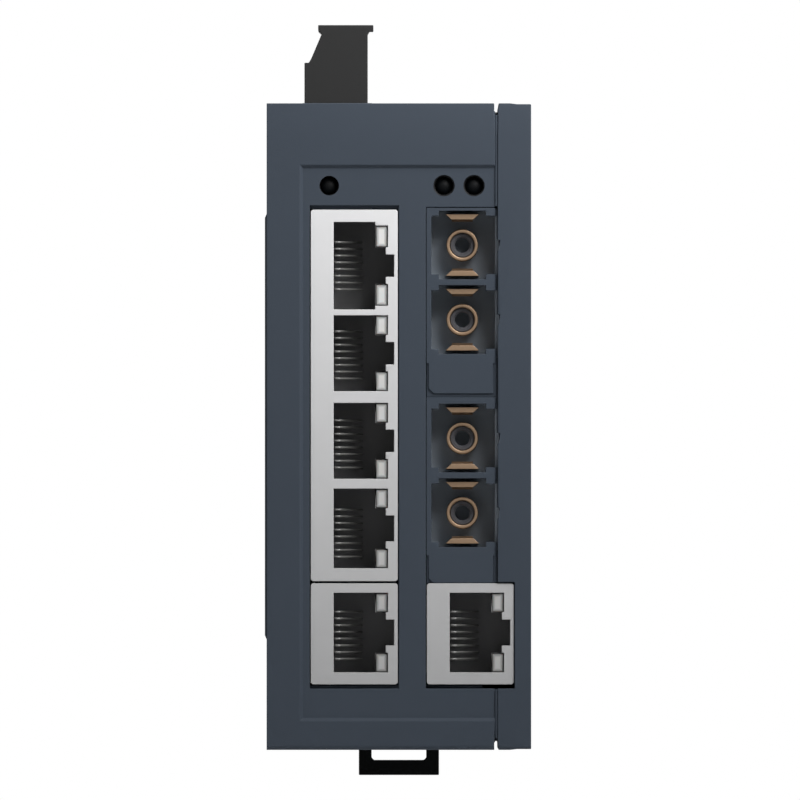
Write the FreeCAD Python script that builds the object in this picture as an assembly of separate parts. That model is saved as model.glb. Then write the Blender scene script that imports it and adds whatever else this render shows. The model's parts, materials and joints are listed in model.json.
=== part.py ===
import FreeCAD, Part
import math
import os

# DIN rail ethernet switch with six copper ports and two duplex fibre ports.
# Millimetres. X runs to the right seen from the front, the front faces -Y, Z is up.
# The origin is where the rail's front face meets the housing, half way up it.

V = FreeCAD.Vector

# Housing and side cover
HOUSING_HEIGHT = 110.0
HOUSING_WIDTH = 45.0
FRONT_REACH = 74.0
HOOK_REACH = 5.0
WALL = 1.8
FRONT_WALL = 2.0
COVER_WIDTH = 5.7
COVER_SKIN = 1.6
SEAM_GAP = 0.43
SLIT_WIDTH = 0.72
SLIT_DEPTH = 1.45
TONGUE_LENGTH = 2.0
TONGUE_THICKNESS = 1.1
FIT_GAP = 0.12
BROW_HEIGHT = 5.4
BROW_SETBACK = 0.4
SILL_RADIUS = 0.8
COVER_FALL = 0.14
COVER_FALL_RUN = 1.2
COVER_FALL_START = 3.6

# Raised label field on the left side
FIELD_HEIGHT = 71.0
FIELD_THICKNESS = 0.3
FIELD_FRONT_MARGIN = 0.6
FIELD_BACK_MARGIN = 14.0
FIELD_SLOPE = 0.7
FIELD_ROOT = 0.5

# Recessed front panel
PANEL_LEFT_MARGIN = 5.7
PANEL_TOP_SHARE = 0.09545
PANEL_BOTTOM_MARGIN = 4.95
PANEL_DEPTH = 0.55
PANEL_SLOPE = 0.5

# Vents
VENT_WIDTH = 2.0
VENT_PITCH = 4.4
VENT_CORNER = 0.6
VENT_INSET = 2.5
VENT_RIGHT_MARGIN = 6.67
VENT_PLUG_MARGIN = 2.91
TOP_VENTS = 7
BOTTOM_VENTS = 10
VENT_BACK_MARGIN = 6.0

# Rail and its hook
RAIL_HEIGHT = 35.0
RAIL_THICKNESS = 1.0
RAIL_CLEARANCE = 0.2
HOOK_GRIP = 2.2
HOOK_LEAD = 0.3
HOOK_TAPER = 1.6
RAIL_DROP_ROOM = 1.6
SEAT_RELIEF = 0.3
SEAT_RELIEF_MARGIN = 0.1

# Latch
LATCH_WIDTH = 13.8
LATCH_THICKNESS = 2.5
LATCH_TAIL = 4.63
LATCH_BAR = 2.6
LATCH_LEG = 2.2
LATCH_TRAVEL = 4.0
LATCH_GRIP = 2.0
LATCH_FIT = 0.15
LATCH_EYE_HEIGHT = 4.2
LATCH_EYE_CORNER = 0.4
LATCH_NOSE_FLAT = 0.6
CHANNEL_LEDGE = 2.0
SPRING_DIAMETER = 2.1
SPRING_WIRE = 0.32
SPRING_TURNS = 5
SPRING_STEPS = 8
SPRING_STROKES = 2.8
SPRING_END_GAP = 0.03
SPRING_SIDE_ROOM = 0.3
SPRING_SEAT_RISE = 9.0
POST_HEIGHT = 1.6
POST_GAP = 0.05

# Circuit boards
BOARD_THICKNESS = 1.6
MAIN_BOARD_SHARE = 0.16444
FIBRE_BOARD_SHARE = 0.27
BOARD_EDGE_GAP = 0.5
GUIDE_HEIGHT = 1.5
GUIDE_THICKNESS = 1.2
GUIDE_LENGTH = 6.0
GUIDE_FRONT_MARGIN = 4.5
GUIDE_PLUG_MARGIN = 6.8
GUIDE_BACK_MARGIN = 9.0
GUIDE_ROOT = 0.2

# Copper port jacks
JACK_WIDTH_SHARE = 0.32889
JACK_DEPTH = 21.0
JACK_STANDOFF = 0.1
JACK_PROUD = 0.15
SHIELD_THICKNESS = 0.35
SHIELD_CORNER = 0.3
SHIELD_HEM = 1.2
SHIELD_HEM_INSET = 0.5
INSERT_GAP = 0.02
INSERT_FOOT_INSET = 3.0
INSERT_FOOT_END = 2.0
JACKS_HIGH_SHARE = 0.619
GANG_SHARE = 0.57455
SINGLE_SHARE = 0.15636
JACK_GAP = 0.36
CUTOUT_GAP = 0.7
CUTOUT_SIDE_GAP = 0.15
CUTOUT_POCKET = 0.9
PORT_SHARE = 0.23576
FIRST_PORT_SHARE = 0.6396
MOUTH_SHARES = (1.0, 0.866, 0.866, 0.909)
SINGLE_MOUTH_SHARE = 0.788
SINGLE_PORT_RISE = 0.22
TAB_HEIGHTS = (6.25, 6.2, 6.15, 6.9)
KEY_HEIGHTS = (3.8, 3.8, 3.8, 4.4)
MOUTH_START_SHARE = 0.2635
MOUTH_END_SHARE = 0.7412
TAB_END_SHARE = 0.8622
KEY_END_SHARE = 0.9588
LENS_END_SHARE = 0.8872
LENS_SIDE_GAP = 0.15
LENS_LOW_GAP = 0.1
LENS_POCKET_GAP = 0.06
LENS_POCKET_END_GAP = 0.03
LENS_MAX_HEIGHT = 3.7
LENS_RECESS = 0.3
LENS_DEPTH = 3.0
MOUTH_DEPTH = 12.5
CONTACTS_PER_PORT = 8
CONTACT_PITCH = 1.14
CONTACT_WIDTH = 0.45
CONTACT_THICKNESS = 0.32
CONTACT_BEND_DEPTH = 1.5
CONTACT_NOSE = 0.9
CONTACT_TIP_SHARE = 0.7072
CONTACT_TIP_DEPTH = 9.5
CONTACT_ROW_SHARE = 1.018
SINGLE_ROW_DROP = 0.48

# Fibre ports
SC_CENTRE_OFFSET = 6.14
SC_PITCH = 12.7
SC_PAIR_DROPS = (12.66, 13.29)
BEZEL_RISE = 0.3
BEZEL_SPLIT = 0.64
BEZEL_JACK_GAP = 0.06
BEZEL_THICKNESS = 2.0
BEZEL_GAP = 0.1
BEZEL_BLANK_INSET = 0.35
BEZEL_BLANK_SHARE = 0.24
BEZEL_GROOVE = 0.35
BEZEL_SEAM_GAP = 0.02
BEZEL_CORNER_SHARE = 0.175
WINDOW_INSET = 0.05
APERTURE_WIDTH = 8.0
APERTURE_HEIGHT = 11.68
APERTURE_SIDE_REACH = 5.27
APERTURE_SIDE_HEIGHT = 9.94
APERTURE_FIT = 0.05
PORT_FLOOR_DEPTH = 9.0
BARREL_DIAMETER = 5.45
BARREL_BORE = 4.17
BARREL_TIP_DEPTH = 4.2
BARREL_FIT = 0.02
SLEEVE_RECESS = 0.9
FERRULE_BORE = 2.5
CLIP_WIDE = 5.66
CLIP_NARROW = 3.78
CLIP_THICKNESS = 0.88
CLIP_OFFSET = 4.37
CLIP_HOOK = 0.4
CLIP_HOOK_LENGTH = 1.2
CLIP_HOOK_HEEL = 0.3
CLIP_HOOK_ROOT = 0.2
CLIP_HOOK_INSET = 0.1
CLIP_TIP_DEPTH = 1.4
TRANSCEIVER_HEIGHT = 25.4
TRANSCEIVER_DEPTH = 36.0
TRANSCEIVER_FACE_GAP = 0.1
TRANSCEIVER_NOSE = 6.0
TRANSCEIVER_LAP = 0.5
TRANSCEIVER_COVER_LAP = 1.2
TRANSCEIVER_STEP_X = 3.0
TRANSCEIVER_STEP_Z = 1.0
KEYWAY_HEIGHT = 1.8
KEYWAY_REACH = 0.35

# Status lights
LIGHT_RISE = 4.1
LEFT_LIGHT_OFFSET = 3.25
RIGHT_LIGHT_OFFSETS = (3.03, 8.13)
LEFT_LIGHT_HOLE = 3.35
RIGHT_LIGHT_HOLE = 3.65
LIGHT_DIAMETER = 3.0
LIGHT_LENGTH = 4.6
LIGHT_RECESS = 1.0
LIGHT_HOLDER_LENGTH = 6.0
LIGHT_HOLDER_WALL = 0.9
LIGHT_HOLDER_FIT = 0.02
TONGUE_WINDOW_LOW = 1.5
TONGUE_WINDOW_HIGH = 3.5

# Power header and plug
POLES = 3
POLE_PITCH = 5.08
HEADER_JACK_GAP = 0.6
PLUG_LAP = 1.03
PLUG_WIDTH = 10.8
PLUG_END_WALL = 0.5
PLUG_RISE = 13.67
PLUG_STEP_RISE = 7.24
PLUG_LIP_THICKNESS = 0.93
PLUG_LIP_OVERHANG = 0.97
PLUG_LIP_LEFT = 2.34
PLUG_WAIST_LEFT = 2.95
PLUG_SLANT_FOOT = 0.75
PLUG_WAIST_DROP = 1.5
PLUG_LIP_ROOT = 0.55
PLUG_LIP_CORNER = 0.3
PLUG_SLANT_RUN = 0.45
PLUG_SLANT_RISE = 0.8
PLUG_NECK_INSET = 0.6
PLUG_NECK_ROOT = 0.5
PLUG_NECK_WIDTH = 7.9
PLUG_NECK_LENGTH = 7.4
PLUG_SHOULDER_DROP = 2.1
PLUG_FIT = 0.12
HEADER_WALL = 0.9
HEADER_BASE = 1.7
HEADER_FIT = 0.15
HEADER_PLUG_GAP = 0.3
HEADER_BOARD_WALL = 0.4
PIN_HOLE_FIT = 0.15
PIN_TAIL = 1.0
PIN_SIDE = 1.0
PIN_LENGTH = 6.3
BOSS_HEIGHT = 0.35
BOSS_MARGIN = 0.7
BOSS_EXTRA = 0.5
BOSS_ROOT = 0.1
SCREW_DIAMETER = 2.5
SCREW_PITCH = 0.45
SCREW_TURNS = 5
SCREW_HEAD = 3.7
SCREW_HEAD_LENGTH = 1.2
SCREW_SLOT = 0.6
SCREW_SLOT_DEPTH = 0.5
SCREW_END_GAP = 0.05
SCREW_HEAD_ROOM = 0.1
SCREW_RUNNING_FIT = 0.05
SCREW_SETBACK = 0.55
SCREW_RISE = 4.0
BEARING_WALL = 0.5
CAGE_WALL = 0.75
CAGE_BACK_WALL = 0.65
CAGE_HEIGHT = 4.4
CAGE_WIDTH = 4.2
CAGE_FIT = 0.06
BAR_THICKNESS = 0.8
BAR_WIDTH = 2.4
WIRE_WIDTH = 3.2
SOCKET_WALL = 0.55
SOCKET_FIT = 0.12
SOCKET_END_GAP = 0.4
SOCKET_BED_FIT = 0.03
BAR_LAP = 2.0
FUNNEL_FLARE = 0.7
FUNNEL_DEPTH = 1.8
FUNNEL_BAR_GAP = 0.05

# Components on the boards
CHIP_SIDE = 14.0
CHIP_THICKNESS = 1.4
PHY_SIDE = 9.0
MAGNETICS_SIZE = (5.6, 9.5, 15.0)
CAPACITOR_DIAMETER = 8.0
CAPACITOR_HEIGHT = 10.5
CAPACITOR_PITCH = 11.0
INDUCTOR_SIDE = 10.0
INDUCTOR_HEIGHT = 5.0
FUSE_SIZE = (2.6, 3.0, 7.0)
CRYSTAL_SIZE = (3.4, 4.5, 10.8)
INDUCTOR_CORNER = 1.8
CRYSTAL_CORNER = 1.6
STACKER_LENGTH = 26.0
STACKER_DEPTH = 5.0
STACKER_FOOT = 0.5
STACKER_FOOT_HEIGHT = 1.5
STACKER_BLADE_REACH = 5.0
STACKER_BLADE_ROOT = 0.5
STACKER_BLADE = 2.6
STACKER_BLADE_END = 1.7
STACKER_SLOT_FIT = 0.2
STACKER_SLOT_FLOOR = 2.5
SOCKET_HEIGHT = 8.5

# Where the components stand: a share of the way back from the jacks, a drop from the top or a rise
STACKER_BACK = 12.0
MAGNETICS_PLACE = 0.171
MAGNETICS_DROP = 8.9
MAGNETICS_PITCH_SHARE = 0.3165
CAPACITOR_PLACE = 0.449
CAPACITOR_DROP = 18.0
INDUCTOR_PLACE = 0.688
INDUCTOR_DROP = 21.0
FUSE_BEHIND = 3.8
FUSE_DROP = 7.0
CRYSTAL_PLACE = 0.489
CRYSTAL_RISE = 12.0
SWITCH_CHIP_PLACE = 0.489
SWITCH_CHIP_RISE = 27.0
FIBRE_CHIP_PLACE = 0.648
FIBRE_CHIP_RISE = 19.0

# Snap tabs that hold the cover
SNAP_YS = (-58.0, -24.0)
SNAP_LENGTH = 7.0
SNAP_REACH = 6.0
SNAP_ROOT = 2.0
SNAP_THICKNESS = 1.3
NOSE_LENGTH = 1.4
NOSE_RISE = 0.7
NOSE_ROOT = 0.3

# Places worked out from the sizes above
LEFT = -HOUSING_WIDTH / 2
RIGHT = HOUSING_WIDTH / 2
TOP = HOUSING_HEIGHT / 2
BOTTOM = -HOUSING_HEIGHT / 2
FRONT = -FRONT_REACH
COVER_EDGE = RIGHT - COVER_WIDTH
BODY_EDGE = COVER_EDGE - SEAM_GAP
PANEL_Y = FRONT + PANEL_DEPTH
FRONT_INNER = FRONT + FRONT_WALL
HOOK_SLOT = RAIL_THICKNESS + RAIL_CLEARANCE
RAIL_HALF = RAIL_HEIGHT / 2
RECESS_TOP = RAIL_HALF + RAIL_CLEARANCE
RECESS_BOTTOM = -RAIL_HALF - RAIL_DROP_ROOM
MAIN_BOARD_FACE = LEFT + MAIN_BOARD_SHARE * HOUSING_WIDTH
FIBRE_BOARD_FACE = COVER_EDGE - FIBRE_BOARD_SHARE * HOUSING_WIDTH
WINDOW_LEFT = FIBRE_BOARD_FACE - WINDOW_INSET
JACK_FACE = PANEL_Y - JACK_PROUD
JACK_BACK = JACK_FACE + JACK_DEPTH
JACK_WIDTH = JACK_WIDTH_SHARE * HOUSING_WIDTH
MOUTH_START = MOUTH_START_SHARE * JACK_WIDTH
MOUTH_END = MOUTH_END_SHARE * JACK_WIDTH
TAB_END = TAB_END_SHARE * JACK_WIDTH
KEY_END = KEY_END_SHARE * JACK_WIDTH
LENS_END = LENS_END_SHARE * JACK_WIDTH
CONTACT_TIP_RISE = CONTACT_TIP_SHARE * (MOUTH_END - MOUTH_START)
GANG_HEIGHT = GANG_SHARE * HOUSING_HEIGHT
SINGLE_HEIGHT = SINGLE_SHARE * HOUSING_HEIGHT
LEFT_JACK_X = MAIN_BOARD_FACE + JACK_STANDOFF
RIGHT_JACK_X = FIBRE_BOARD_FACE + JACK_STANDOFF
SPARE_HEIGHT = HOUSING_HEIGHT - GANG_HEIGHT - JACK_GAP - SINGLE_HEIGHT
GANG_TOP = TOP - JACKS_HIGH_SHARE * SPARE_HEIGHT
SINGLE_TOP = GANG_TOP - GANG_HEIGHT - JACK_GAP
PORT_PITCH = GANG_HEIGHT * PORT_SHARE
CUTOUT_TOP = GANG_TOP + CUTOUT_GAP
CUTOUT_BOTTOM = SINGLE_TOP - SINGLE_HEIGHT - CUTOUT_GAP
BEZEL_BACK = PANEL_Y + BEZEL_THICKNESS
BEZEL_TOP = GANG_TOP + BEZEL_RISE
BEZEL_LOW = SINGLE_TOP + BEZEL_JACK_GAP
BEZEL_HEIGHT = (BEZEL_TOP - BEZEL_LOW - BEZEL_SPLIT) / 2
BEZEL_TOPS = (BEZEL_TOP, BEZEL_TOP - BEZEL_HEIGHT - BEZEL_SPLIT)
SC_PAIR_CENTRES = [top - drop for top, drop in zip(BEZEL_TOPS, SC_PAIR_DROPS)]
SC_CENTRE_X = FIBRE_BOARD_FACE + SC_CENTRE_OFFSET
LIGHT_HEIGHT = GANG_TOP + LIGHT_RISE
LEFT_LIGHT_X = MAIN_BOARD_FACE + LEFT_LIGHT_OFFSET
RIGHT_LIGHT_XS = [FIBRE_BOARD_FACE + offset for offset in RIGHT_LIGHT_OFFSETS]
LATCH_FRONT = HOOK_SLOT
LATCH_BACK = LATCH_FRONT + LATCH_THICKNESS
LATCH_NOSE = -RAIL_HALF + LATCH_GRIP
SPRING_SEAT = BOTTOM + SPRING_SEAT_RISE
SPRING_LENGTH = LATCH_TRAVEL * SPRING_STROKES
PLUG_LEFT = MAIN_BOARD_FACE - PLUG_LAP
PLUG_RIGHT = PLUG_LEFT + PLUG_WIDTH
PLUG_TOP = TOP + PLUG_RISE
PLUG_LENGTH = POLES * POLE_PITCH + 2 * PLUG_END_WALL
HEADER_HALF = PLUG_LENGTH / 2 - PLUG_NECK_INSET + HEADER_FIT + HEADER_WALL
PLUG_CENTRE_Y = JACK_BACK + HEADER_JACK_GAP + HEADER_HALF
PLUG_Y0 = PLUG_CENTRE_Y - PLUG_LENGTH / 2
PLUG_Y1 = PLUG_CENTRE_Y + PLUG_LENGTH / 2
PLUG_MIDDLE = PLUG_LEFT + PLUG_WIDTH / 2
SHOULDER_Z = TOP - PLUG_SHOULDER_DROP
SCREW_Z = TOP + SCREW_RISE


def box(x0, x1, y0, y1, z0, z1):
    return Part.makeBox(x1 - x0, y1 - y0, z1 - z0, V(x0, y0, z0))


def cylinder(radius, start, end):
    a = V(*start)
    along = V(*end) - a
    return Part.makeCylinder(radius, along.Length, a, along)


def face_of(points):
    return Part.Face(Part.makePolygon(list(points) + [points[0]]))


def prism_x(points, x0, x1):
    return face_of([V(x0, y, z) for y, z in points]).extrude(V(x1 - x0, 0, 0))


def prism_y(points, y0, y1):
    return face_of([V(x, y0, z) for x, z in points]).extrude(V(0, y1 - y0, 0))


def fused(shapes):
    first, rest = shapes[0], shapes[1:]
    whole = first.multiFuse(rest) if rest else first
    return whole.removeSplitter()


def cut_all(shape, tools):
    return shape.cut(Part.makeCompound(tools)) if tools else shape


def loft(lower, upper):
    wires = [Part.makePolygon(list(ring) + [ring[0]]) for ring in (lower, upper)]
    return Part.makeLoft(wires, True, True)


def rectangle(cx, cy, wx, wy, z):
    hx, hy = wx / 2, wy / 2
    return [V(cx - hx, cy - hy, z), V(cx + hx, cy - hy, z), V(cx + hx, cy + hy, z), V(cx - hx, cy + hy, z)]


def bevel_edges(shape, size, wanted):
    return shape.makeChamfer(size, [edge for edge in shape.Edges if wanted(edge)])


def runs_along(edge, axis):
    if not isinstance(edge.Curve, Part.Line):
        return False
    return abs(edge.Curve.Direction.dot(axis)) > 0.999


# Housing

def side_outline(inset, lower_front):
    """The housing seen from its side, drawn in by an inset, as a closed face in the YZ plane."""
    front = FRONT + (lower_front if inset else 0)
    top, bottom = TOP - inset, BOTTOM + inset
    back, seat = HOOK_REACH - inset, -inset
    above, below = RECESS_TOP + inset, RECESS_BOTTOM - inset
    brow = TOP - BROW_HEIGHT
    corner = max(SILL_RADIUS - inset, 0.2)
    sill_start = V(0, front, bottom + corner)
    sill_end = V(0, front + corner, bottom)
    bend = corner * (1 - math.sqrt(0.5))
    sill = Part.Arc(sill_start, V(0, front + bend, bottom + bend), sill_end).toShape()
    points = [sill_end, V(0, back, bottom), V(0, back, below), V(0, seat, below), V(0, seat, above)]
    points += [V(0, back, above), V(0, back, top), V(0, front + BROW_SETBACK, top), V(0, front, brow)]
    points.append(sill_start)
    edges = [Part.makeLine(a, b) for a, b in zip(points, points[1:])]
    return Part.Face(Part.Wire([sill] + edges))


def side_slab(inset, lower_front, x0, x1):
    slab = side_outline(inset, lower_front).extrude(V(x1 - x0, 0, 0))
    slab.translate(V(x0, 0, 0))
    return slab


def seam_slits():
    """Grooves along the seam through the top and bottom faces, narrower at their floors."""
    middle = (BODY_EDGE + COVER_EDGE) / 2
    half = SLIT_WIDTH / 2
    slits = []
    for side in (1, -1):
        floor, outside = side * (TOP - SLIT_DEPTH), side * (TOP + 1)
        shoulder = side * (TOP - SLIT_DEPTH + half / 2)
        outline = [(middle - half, outside), (middle - half, shoulder), (middle - half / 2, floor)]
        outline += [(middle + half / 2, floor), (middle + half, shoulder), (middle + half, outside)]
        slits.append(prism_y(outline, FRONT - 1, HOOK_REACH + 1))
    return slits


def panel_recess():
    """The shallow front recess, with sloped walls, open towards the seam."""
    left = LEFT + PANEL_LEFT_MARGIN
    top, bottom = TOP - PANEL_TOP_SHARE * HOUSING_HEIGHT, BOTTOM + PANEL_BOTTOM_MARGIN
    right = BODY_EDGE + 1
    slope = PANEL_SLOPE / PANEL_DEPTH
    rings = []
    for y in (FRONT - PANEL_DEPTH, PANEL_Y):
        draw = (y - FRONT) * slope
        x0, z0, z1 = left + draw, bottom + draw, top - draw
        rings.append([V(x0, y, z0), V(right, y, z0), V(right, y, z1), V(x0, y, z1)])
    return loft(rings[0], rings[1])


def vent_slots():
    """Rows of slots with clipped corners through the top, behind the plug, and through the bottom."""
    slots = []
    x0, x1 = LEFT + PANEL_LEFT_MARGIN + VENT_INSET, BODY_EDGE - VENT_RIGHT_MARGIN
    half, clip = VENT_WIDTH / 2, VENT_CORNER
    top_pitch = (-PLUG_Y1 - VENT_PLUG_MARGIN - VENT_BACK_MARGIN) / (TOP_VENTS - 1)
    for wall, count, pitch in ((TOP - WALL, TOP_VENTS, top_pitch), (BOTTOM, BOTTOM_VENTS, VENT_PITCH)):
        for number in range(count):
            y = -VENT_BACK_MARGIN - number * pitch
            y0, y1 = y - half, y + half
            outline = [(x0 + clip, y0), (x1 - clip, y0), (x1, y0 + clip), (x1, y1 - clip)]
            outline += [(x1 - clip, y1), (x0 + clip, y1), (x0, y1 - clip), (x0, y0 + clip)]
            slots.append(face_of([V(px, py, wall - 1) for px, py in outline]).extrude(V(0, 0, WALL + 2)))
    return slots


def label_field():
    """The raised flat field on the left side, with sloped ends."""
    half = FIELD_HEIGHT / 2
    y0, y1 = FRONT + FIELD_FRONT_MARGIN, -FIELD_BACK_MARGIN
    root, foot = LEFT + FIELD_ROOT, half + FIELD_SLOPE
    outline = [(root, -foot), (LEFT, -foot), (LEFT - FIELD_THICKNESS, -half)]
    outline += [(LEFT - FIELD_THICKNESS, half), (LEFT, foot), (root, foot)]
    return prism_y(outline, y0, y1)


def board_guides():
    """Short paired ribs on the floor and ceiling that hold both boards by their edges."""
    ribs = []
    ceiling, floor = TOP - WALL, BOTTOM + WALL
    for face in (MAIN_BOARD_FACE, FIBRE_BOARD_FACE):
        back = face - BOARD_THICKNESS
        for y in (FRONT_INNER + GUIDE_FRONT_MARGIN, PLUG_Y1 + GUIDE_PLUG_MARGIN, -GUIDE_BACK_MARGIN):
            y0, y1 = y - GUIDE_LENGTH / 2, y + GUIDE_LENGTH / 2
            for x0 in (back - FIT_GAP - GUIDE_THICKNESS, face + FIT_GAP):
                x1 = x0 + GUIDE_THICKNESS
                ribs.append(box(x0, x1, y0, y1, ceiling - GUIDE_HEIGHT, ceiling + GUIDE_ROOT))
                ribs.append(box(x0, x1, y0, y1, floor - GUIDE_ROOT, floor + GUIDE_HEIGHT))
    return ribs


def rail_hook():
    """The fixed nose that reaches down behind the rail's upper lip, with a lead-in."""
    tip = RAIL_HALF - HOOK_GRIP
    root = RECESS_TOP + HOOK_LEAD
    outline = [(HOOK_SLOT, root), (HOOK_SLOT, tip + HOOK_LEAD), (HOOK_SLOT + HOOK_LEAD, tip)]
    outline += [(HOOK_REACH - HOOK_TAPER, tip), (HOOK_REACH, tip + HOOK_TAPER), (HOOK_REACH, root)]
    return prism_x(outline, LEFT, BODY_EDGE - TONGUE_LENGTH - FIT_GAP)


def seat_reliefs():
    """Shallow steps under the hook and under the latch's nose, so that the rail lies flat between them."""
    hook_tip = RAIL_HALF - HOOK_GRIP - SEAT_RELIEF_MARGIN
    nose_tip = LATCH_NOSE + SEAT_RELIEF_MARGIN
    y0, y1 = -SEAT_RELIEF, HOOK_SLOT - LATCH_FIT
    return [box(LEFT - 1, BODY_EDGE + 1, y0, y1, hook_tip, RECESS_TOP),
            box(LEFT - 1, BODY_EDGE + 1, y0, 0, RECESS_BOTTOM, nose_tip)]


def channel_block():
    half = LATCH_WIDTH / 2 + LATCH_FIT + WALL
    return box(-half, half, LATCH_FRONT - LATCH_FIT - WALL, HOOK_REACH, BOTTOM, RECESS_BOTTOM)


def channel_cuts():
    half = LATCH_WIDTH / 2 + LATCH_FIT
    throat = half - CHANNEL_LEDGE
    front, back = LATCH_FRONT - LATCH_FIT, LATCH_BACK + LATCH_FIT
    wide = box(-half, half, front, back, BOTTOM - 1, RECESS_BOTTOM + 1)
    narrow = box(-throat, throat, front, HOOK_REACH + 1, BOTTOM - 1, RECESS_BOTTOM + 1)
    return [wide, narrow]


def spring_post():
    half = SPRING_DIAMETER / 2
    return box(-half, half, LATCH_FRONT - LATCH_FIT - 0.2, LATCH_BACK, SPRING_SEAT - POST_HEIGHT, SPRING_SEAT)


def plug_opening():
    x0, x1 = PLUG_LEFT - PLUG_FIT, PLUG_RIGHT + PLUG_FIT
    y0, y1 = PLUG_Y0 - PLUG_FIT, PLUG_Y1 + PLUG_FIT
    return box(x0, x1, y0, y1, SHOULDER_Z - 1, TOP + 1)


def plug_boss():
    """The low chamfered frame round the plug's opening."""
    x0, x1 = PLUG_LEFT - BOSS_MARGIN, PLUG_RIGHT + BOSS_MARGIN + BOSS_EXTRA
    y0, y1 = PLUG_Y0 - BOSS_MARGIN, PLUG_Y1 + BOSS_MARGIN
    cx, cy = (x0 + x1) / 2, (y0 + y1) / 2
    wide = rectangle(cx, cy, x1 - x0, y1 - y0, TOP - BOSS_ROOT)
    draw = 2 * BOSS_HEIGHT
    narrow = rectangle(cx, cy, x1 - x0 - draw, y1 - y0 - draw, TOP + BOSS_HEIGHT)
    return loft(wide, narrow)


def light_holes():
    holes = []
    for x, diameter in [(LEFT_LIGHT_X, LEFT_LIGHT_HOLE)] + [(x, RIGHT_LIGHT_HOLE) for x in RIGHT_LIGHT_XS]:
        holes.append(cylinder(diameter / 2, (x, FRONT - 1, LIGHT_HEIGHT), (x, FRONT_INNER + 1, LIGHT_HEIGHT)))
    return holes


def front_cutouts():
    """Windows for the jacks and bezels, with a shallow pocket above and below each column of jacks."""
    y0, y1, pocket = FRONT - 1, FRONT_INNER + 1, PANEL_Y + CUTOUT_POCKET
    left_x0 = LEFT_JACK_X - CUTOUT_SIDE_GAP
    left_x1 = LEFT_JACK_X + JACK_WIDTH + CUTOUT_SIDE_GAP
    low = SINGLE_TOP - SINGLE_HEIGHT - CUTOUT_SIDE_GAP
    return [box(left_x0, left_x1, y0, y1, low, GANG_TOP + CUTOUT_SIDE_GAP),
            box(left_x0, left_x1, y0, pocket, CUTOUT_BOTTOM, CUTOUT_TOP),
            box(WINDOW_LEFT, BODY_EDGE + 1, y0, y1, low, BEZEL_TOP + BEZEL_GAP),
            box(WINDOW_LEFT, BODY_EDGE + 1, y0, pocket, CUTOUT_BOTTOM, SINGLE_TOP)]


def tongue_ring(outer_inset, inner_inset, x0, x1):
    outer = side_slab(outer_inset, outer_inset, x0, x1)
    return outer.cut(side_slab(inner_inset, inner_inset, x0 - 1, x1 + 1))


def hook_pockets(grow):
    """Snap noses on the cover's tabs; grown by the fit, they are the pockets in the body."""
    noses = []
    half = SNAP_LENGTH / 2 + grow
    for side in (1, -1):
        for y in SNAP_YS:
            inner = TOP - WALL - NOSE_ROOT
            reach = TOP - WALL + NOSE_RISE + grow
            x0, x1 = BODY_EDGE - SNAP_REACH - grow, BODY_EDGE - SNAP_REACH + NOSE_LENGTH + grow
            z0, z1 = (inner, reach) if side > 0 else (-reach, -inner)
            noses.append(box(x0, x1, y - half, y + half, z0, z1))
    return noses


def housing_body():
    shell = side_slab(0, 0, LEFT, BODY_EDGE)
    shell = shell.cut(side_slab(WALL, FRONT_WALL, LEFT + WALL, BODY_EDGE + 1))
    rebate = side_slab(SLIT_DEPTH, SLIT_DEPTH, BODY_EDGE - TONGUE_LENGTH - FIT_GAP, BODY_EDGE + 1)
    shell = fused([shell, label_field(), rail_hook(), channel_block(), plug_boss()] + board_guides())
    shell = cut_all(shell, [rebate] + channel_cuts() + seam_slits() + vent_slots())
    shell = cut_all(shell, [panel_recess(), plug_opening()] + light_holes() + front_cutouts())
    shell = cut_all(shell, hook_pockets(FIT_GAP) + seat_reliefs())
    return fused([shell, spring_post()])


def cover_crown():
    """What the small step down towards the right takes off the cover's top and bottom."""
    wedges = []
    for side in (1, -1):
        x0 = RIGHT - COVER_FALL_START
        low = side * (TOP - COVER_FALL)
        outline = [(x0, side * TOP), (x0 + COVER_FALL_RUN, low), (RIGHT + 1, low)]
        outline += [(RIGHT + 1, side * (TOP + 1)), (x0, side * (TOP + 1))]
        wedges.append(prism_y(outline, FRONT - 1, HOOK_REACH + 1))
    return wedges


def snap_tabs():
    tabs = []
    for side in (1, -1):
        for y in SNAP_YS:
            outer = TOP - WALL - FIT_GAP
            inner = outer - SNAP_THICKNESS
            z0, z1 = (inner, outer) if side > 0 else (-outer, -inner)
            y0, y1 = y - SNAP_LENGTH / 2, y + SNAP_LENGTH / 2
            tabs.append(box(BODY_EDGE - SNAP_REACH, COVER_EDGE + SNAP_ROOT, y0, y1, z0, z1))
    return tabs


def port_keyways():
    """Small notches in the cover's front edge, one beside each fibre port."""
    ways = []
    for pair in SC_PAIR_CENTRES:
        for side in (1, -1):
            z = pair + side * SC_PITCH / 2
            half = KEYWAY_HEIGHT / 2
            x0, x1 = COVER_EDGE - 1, COVER_EDGE + KEYWAY_REACH
            ways.append(box(x0, x1, FRONT - 1, FRONT_INNER + 1, z - half, z + half))
    return ways


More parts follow.
